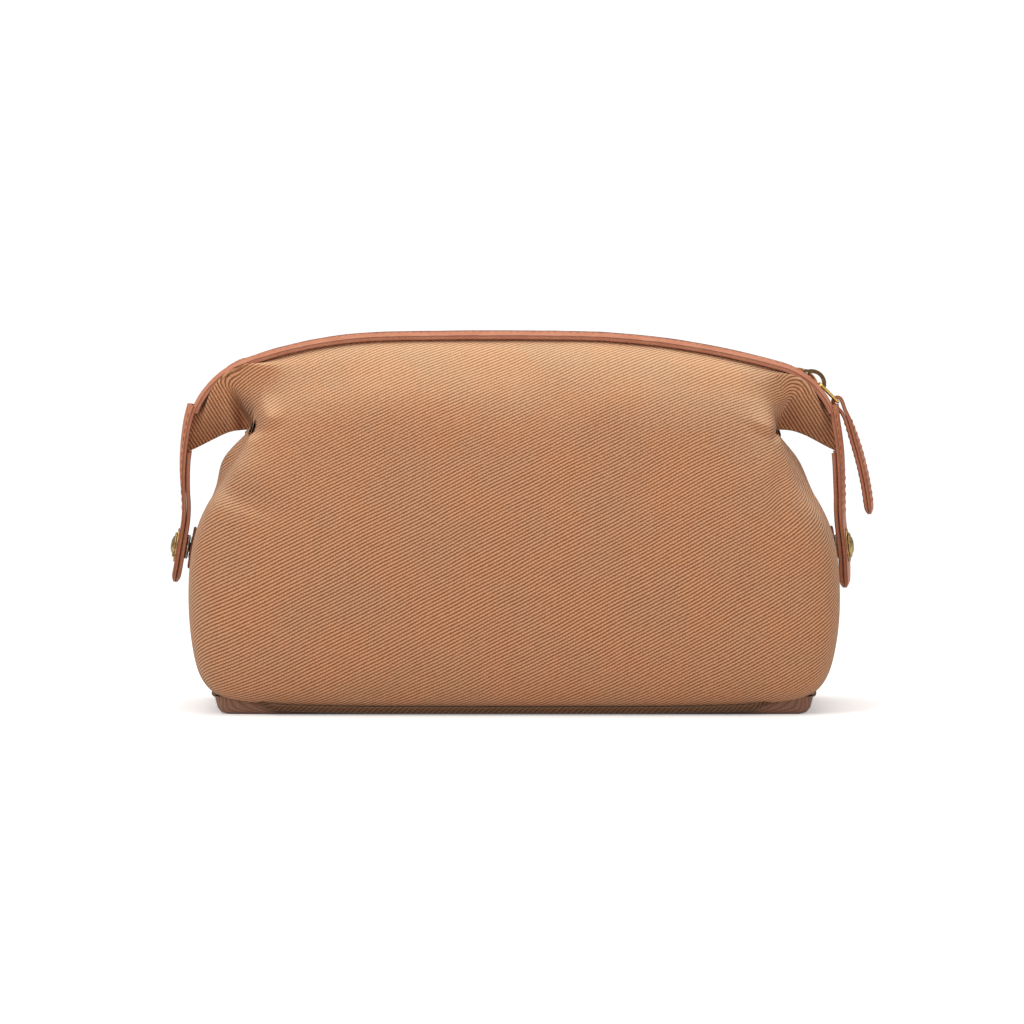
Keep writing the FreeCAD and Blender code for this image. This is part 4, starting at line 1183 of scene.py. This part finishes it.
def woven_look(name, light, dark, pitch, diagonal=False):
    """Plain or herringbone weave for lining and zip tape."""
    m = Shader(name)
    where = m.fabric()
    x, y, _ = m.split(where)
    if diagonal:
        fold = m.math("ABSOLUTE", m.math("FRACT", y / 2.6) - 0.5)
        wave = ((x + fold * 2.6) / pitch).wave()
    else:
        wave = (x / pitch).wave() * (y / pitch).wave()
    fuzz = m.noise(where, 3.0, 3.0, 0.7)
    shade = m.span(wave + (fuzz - 0.5), 0.1, 0.9)
    m.set(Base_Color=m.mix(shade, dark, light), Roughness=0.92, Specular_IOR_Level=0.15, Sheen_Weight=0.15)
    m.raise_by(wave + fuzz * 0.4, 0.12, 0.7)
    return m.material


def board_look():
    m = Shader("fibre_board")
    fleck = m.noise(m.rest_place(), 1.6, 5.0, 0.75)
    base = m.mix(m.span(fleck, 0.3, 0.7), linear(96, 88, 80), linear(150, 140, 126))
    m.set(Base_Color=base, Roughness=0.88)
    m.raise_by(fleck, 0.1, 0.6)
    return m.material


# ---------------------------------------------------------------- metal nodes of the frame
def dress(node, material, bevel=0.0):
    """Give a frame node its material, and soften its cast edges."""
    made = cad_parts[node]
    made.data.materials.clear()
    made.data.materials.append(material)
    if bevel:
        weld = made.modifiers.new("weld", "WELD")
        weld.merge_threshold = 0.004 * MM
        soften = made.modifiers.new("bevel", "BEVEL")
        soften.width, soften.segments = bevel * MM, 2
        soften.limit_method, soften.angle_limit = "ANGLE", radians(38)
        made.modifiers.new("normals", "WEIGHTED_NORMAL")


def hardware(brass, steel):
    gold = metal_look("bright_brass", linear(240, 202, 112), linear(150, 112, 52), (0.14, 0.34), 0.45)
    out = crown_axes(SLIDER_S)[1]
    x, z, _ = crown_at(SLIDER_S, SLIDER_N - TRIM_TOP)
    dress("zip_slider", slider_look((float(x), 0, float(z)), out, 3.1), 0.22)
    dress("zip_lock_pin", steel, 0.1)
    dress("pull_ring", gold)
    dress("zip_bottom_stop", brass, 0.15)
    dress("base_board", board_look(), 0.2)


# ---------------------------------------------------------------- studio
WORLD_LIGHT, BACKDROP = 0.45, 1.05
FLOOR_GLOW = 0.33
FLOOR_FADE = (0.45, 1.1)
# name, place, target, size, power and colour
LIGHTS = (
    ("key", (-0.75, -1.1, 1.35), (0, 0, 0.06), 0.9, 11.0, (1.0, 0.98, 0.95)),
    ("top", (0.05, 0.1, 1.5), (0, 0, 0.1), 1.3, 12.0, (1.0, 0.99, 0.97)),
    ("fill", (1.1, -1.5, 0.5), (0, 0, 0.08), 1.0, 3.4, (0.98, 0.98, 1.0)),
    ("front", (-0.25, -1.9, 0.3), (0, 0, 0.09), 0.7, 2.6, (1.0, 0.97, 0.93)),
)


def area_light(name, place, target, size, power, colour):
    light = bpy.data.lights.new(name, "AREA")
    light.shape, light.size, light.energy, light.color = "DISK", size, power, colour
    made = bpy.data.objects.new(name, light)
    made.location = place
    made.rotation_euler = (Vector(target) - Vector(place)).to_track_quat("-Z", "Y").to_euler()
    bpy.context.scene.collection.objects.link(made)


def studio():
    scene = bpy.context.scene
    world = bpy.data.worlds.new("studio")
    scene.world = world
    world.use_nodes = True
    tree = world.node_tree
    background = tree.nodes["Background"].inputs
    background["Color"].default_value = (1, 1, 1, 1)
    level = tree.nodes.new("ShaderNodeMapRange")
    level.inputs["To Min"].default_value = WORLD_LIGHT
    level.inputs["To Max"].default_value = BACKDROP
    tree.links.new(tree.nodes.new("ShaderNodeLightPath").outputs["Is Camera Ray"], level.inputs["Value"])
    tree.links.new(level.outputs[0], background["Strength"])

    bpy.ops.mesh.primitive_grid_add(x_subdivisions=24, y_subdivisions=24, size=30)
    floor = bpy.context.object
    floor.name = "floor"
    m = Shader("studio_floor")
    place = m.node("TexCoord", output="Object")
    paper = m.noise(place, 40.0, 2.0)
    m.set(Base_Color=m.mix(paper, (0.93, 0.925, 0.92, 1), (0.95, 0.945, 0.94, 1)), Roughness=0.85,
          Specular_IOR_Level=0.1)
    # the paper is lit up to white, and fades into the white backdrop away from the bag
    away = m.node("VectorMath", {0: place}, "Value", operation="LENGTH")
    camera_ray = m.node("LightPath", output="Is Camera Ray")
    glow = m.node("Emission", {"Color": (1, 0.995, 0.99, 1), "Strength": camera_ray * FLOOR_GLOW})
    backdrop = m.node("Emission", {"Color": (1, 1, 1, 1), "Strength": camera_ray * BACKDROP})
    lit = m.node("AddShader", {0: Value(m, m.bsdf.outputs[0]), 1: glow})
    whole = m.node("MixShader", {0: m.span(away, *FLOOR_FADE) * camera_ray, 1: lit, 2: backdrop})
    m.give(m.tree.nodes["Material Output"].inputs["Surface"], whole)
    floor.data.materials.append(m.material)

    for light in LIGHTS:
        area_light(*light)
    scene.view_settings.view_transform = "Standard"
    scene.view_settings.look = "None"


def camera():
    """Long lens, 3 degrees above the horizon, straight at the front."""
    reach, width = 3.0, 0.4403
    data = bpy.data.cameras.new("camera")
    data.lens = 36.0 * reach / width
    data.clip_end = 60.0
    made = bpy.data.objects.new("camera", data)
    rise = radians(3.0)
    target = Vector((-0.86, 0, 83.5)) * MM
    made.location = target + Vector((0, -cos(rise), sin(rise))) * reach
    made.rotation_euler = (target - made.location).to_track_quat("-Z", "Y").to_euler()
    bpy.context.scene.collection.objects.link(made)
    bpy.context.scene.camera = made


# ---------------------------------------------------------------- build
canvas_cloth = twill("twill_canvas", linear(202, 146, 107), linear(114, 71, 47))
# painted shade: the piping's twill is coloured much darker than the canvas, for the shade under the body's
# bulge where it faces down
piping_cloth_painted_shade = twill("twill_piping_painted_shade", linear(106, 72, 49), linear(58, 37, 25), 1.5, 40.0)
# painted shade: the bottom cloth is coloured the dark grey-brown of the bag's underside in shade
tray_cloth_painted_shade = woven_look("tray_cloth_painted_shade", linear(150, 112, 92), linear(118, 84, 68), 0.6)
lining_cloth = woven_look("cotton_lining", linear(226, 214, 194), linear(178, 162, 140), 0.55)
tape_cloth = woven_look("zip_tape", linear(146, 92, 66), linear(84, 48, 34), 0.8, True)
# the third colour, on the cut edges, is dark edge paint with painted shade added
tan_leather = leather_look("tan_leather", linear(214, 138, 100), linear(184, 106, 74), linear(86, 43, 28))
sewing_thread = thread_look("thread", linear(202, 128, 86), linear(128, 68, 44))
tooth_metal = metal_look("tooth_metal", linear(150, 112, 74), linear(84, 52, 36), (0.3, 0.5), 0.6, True)
snap_brass = metal_look("antique_brass", linear(206, 174, 118), linear(104, 82, 50), (0.24, 0.5), 0.75, True)
snap_steel = metal_look("snap_steel", linear(190, 184, 174), linear(110, 104, 96), (0.3, 0.5), 0.5, True)
cast_brass = metal_look("cast_brass", linear(196, 164, 104), linear(96, 74, 44), (0.24, 0.5), 0.75)
steel = metal_look("steel", linear(190, 184, 174), linear(110, 104, 96), (0.3, 0.5), 0.5)

canvas_sheets(canvas_cloth, lining_cloth)
trims(tan_leather)
tapes(tape_cloth)
trim_stitches(sewing_thread)
teeth(tooth_metal)
piping(piping_cloth_painted_shade)
bottom(tray_cloth_painted_shade, lining_cloth)
tabs(tan_leather, sewing_thread)
snaps(tan_leather, snap_brass, snap_steel)
pull(tan_leather, sewing_thread)
hardware(cast_brass, steel)
studio()
camera()
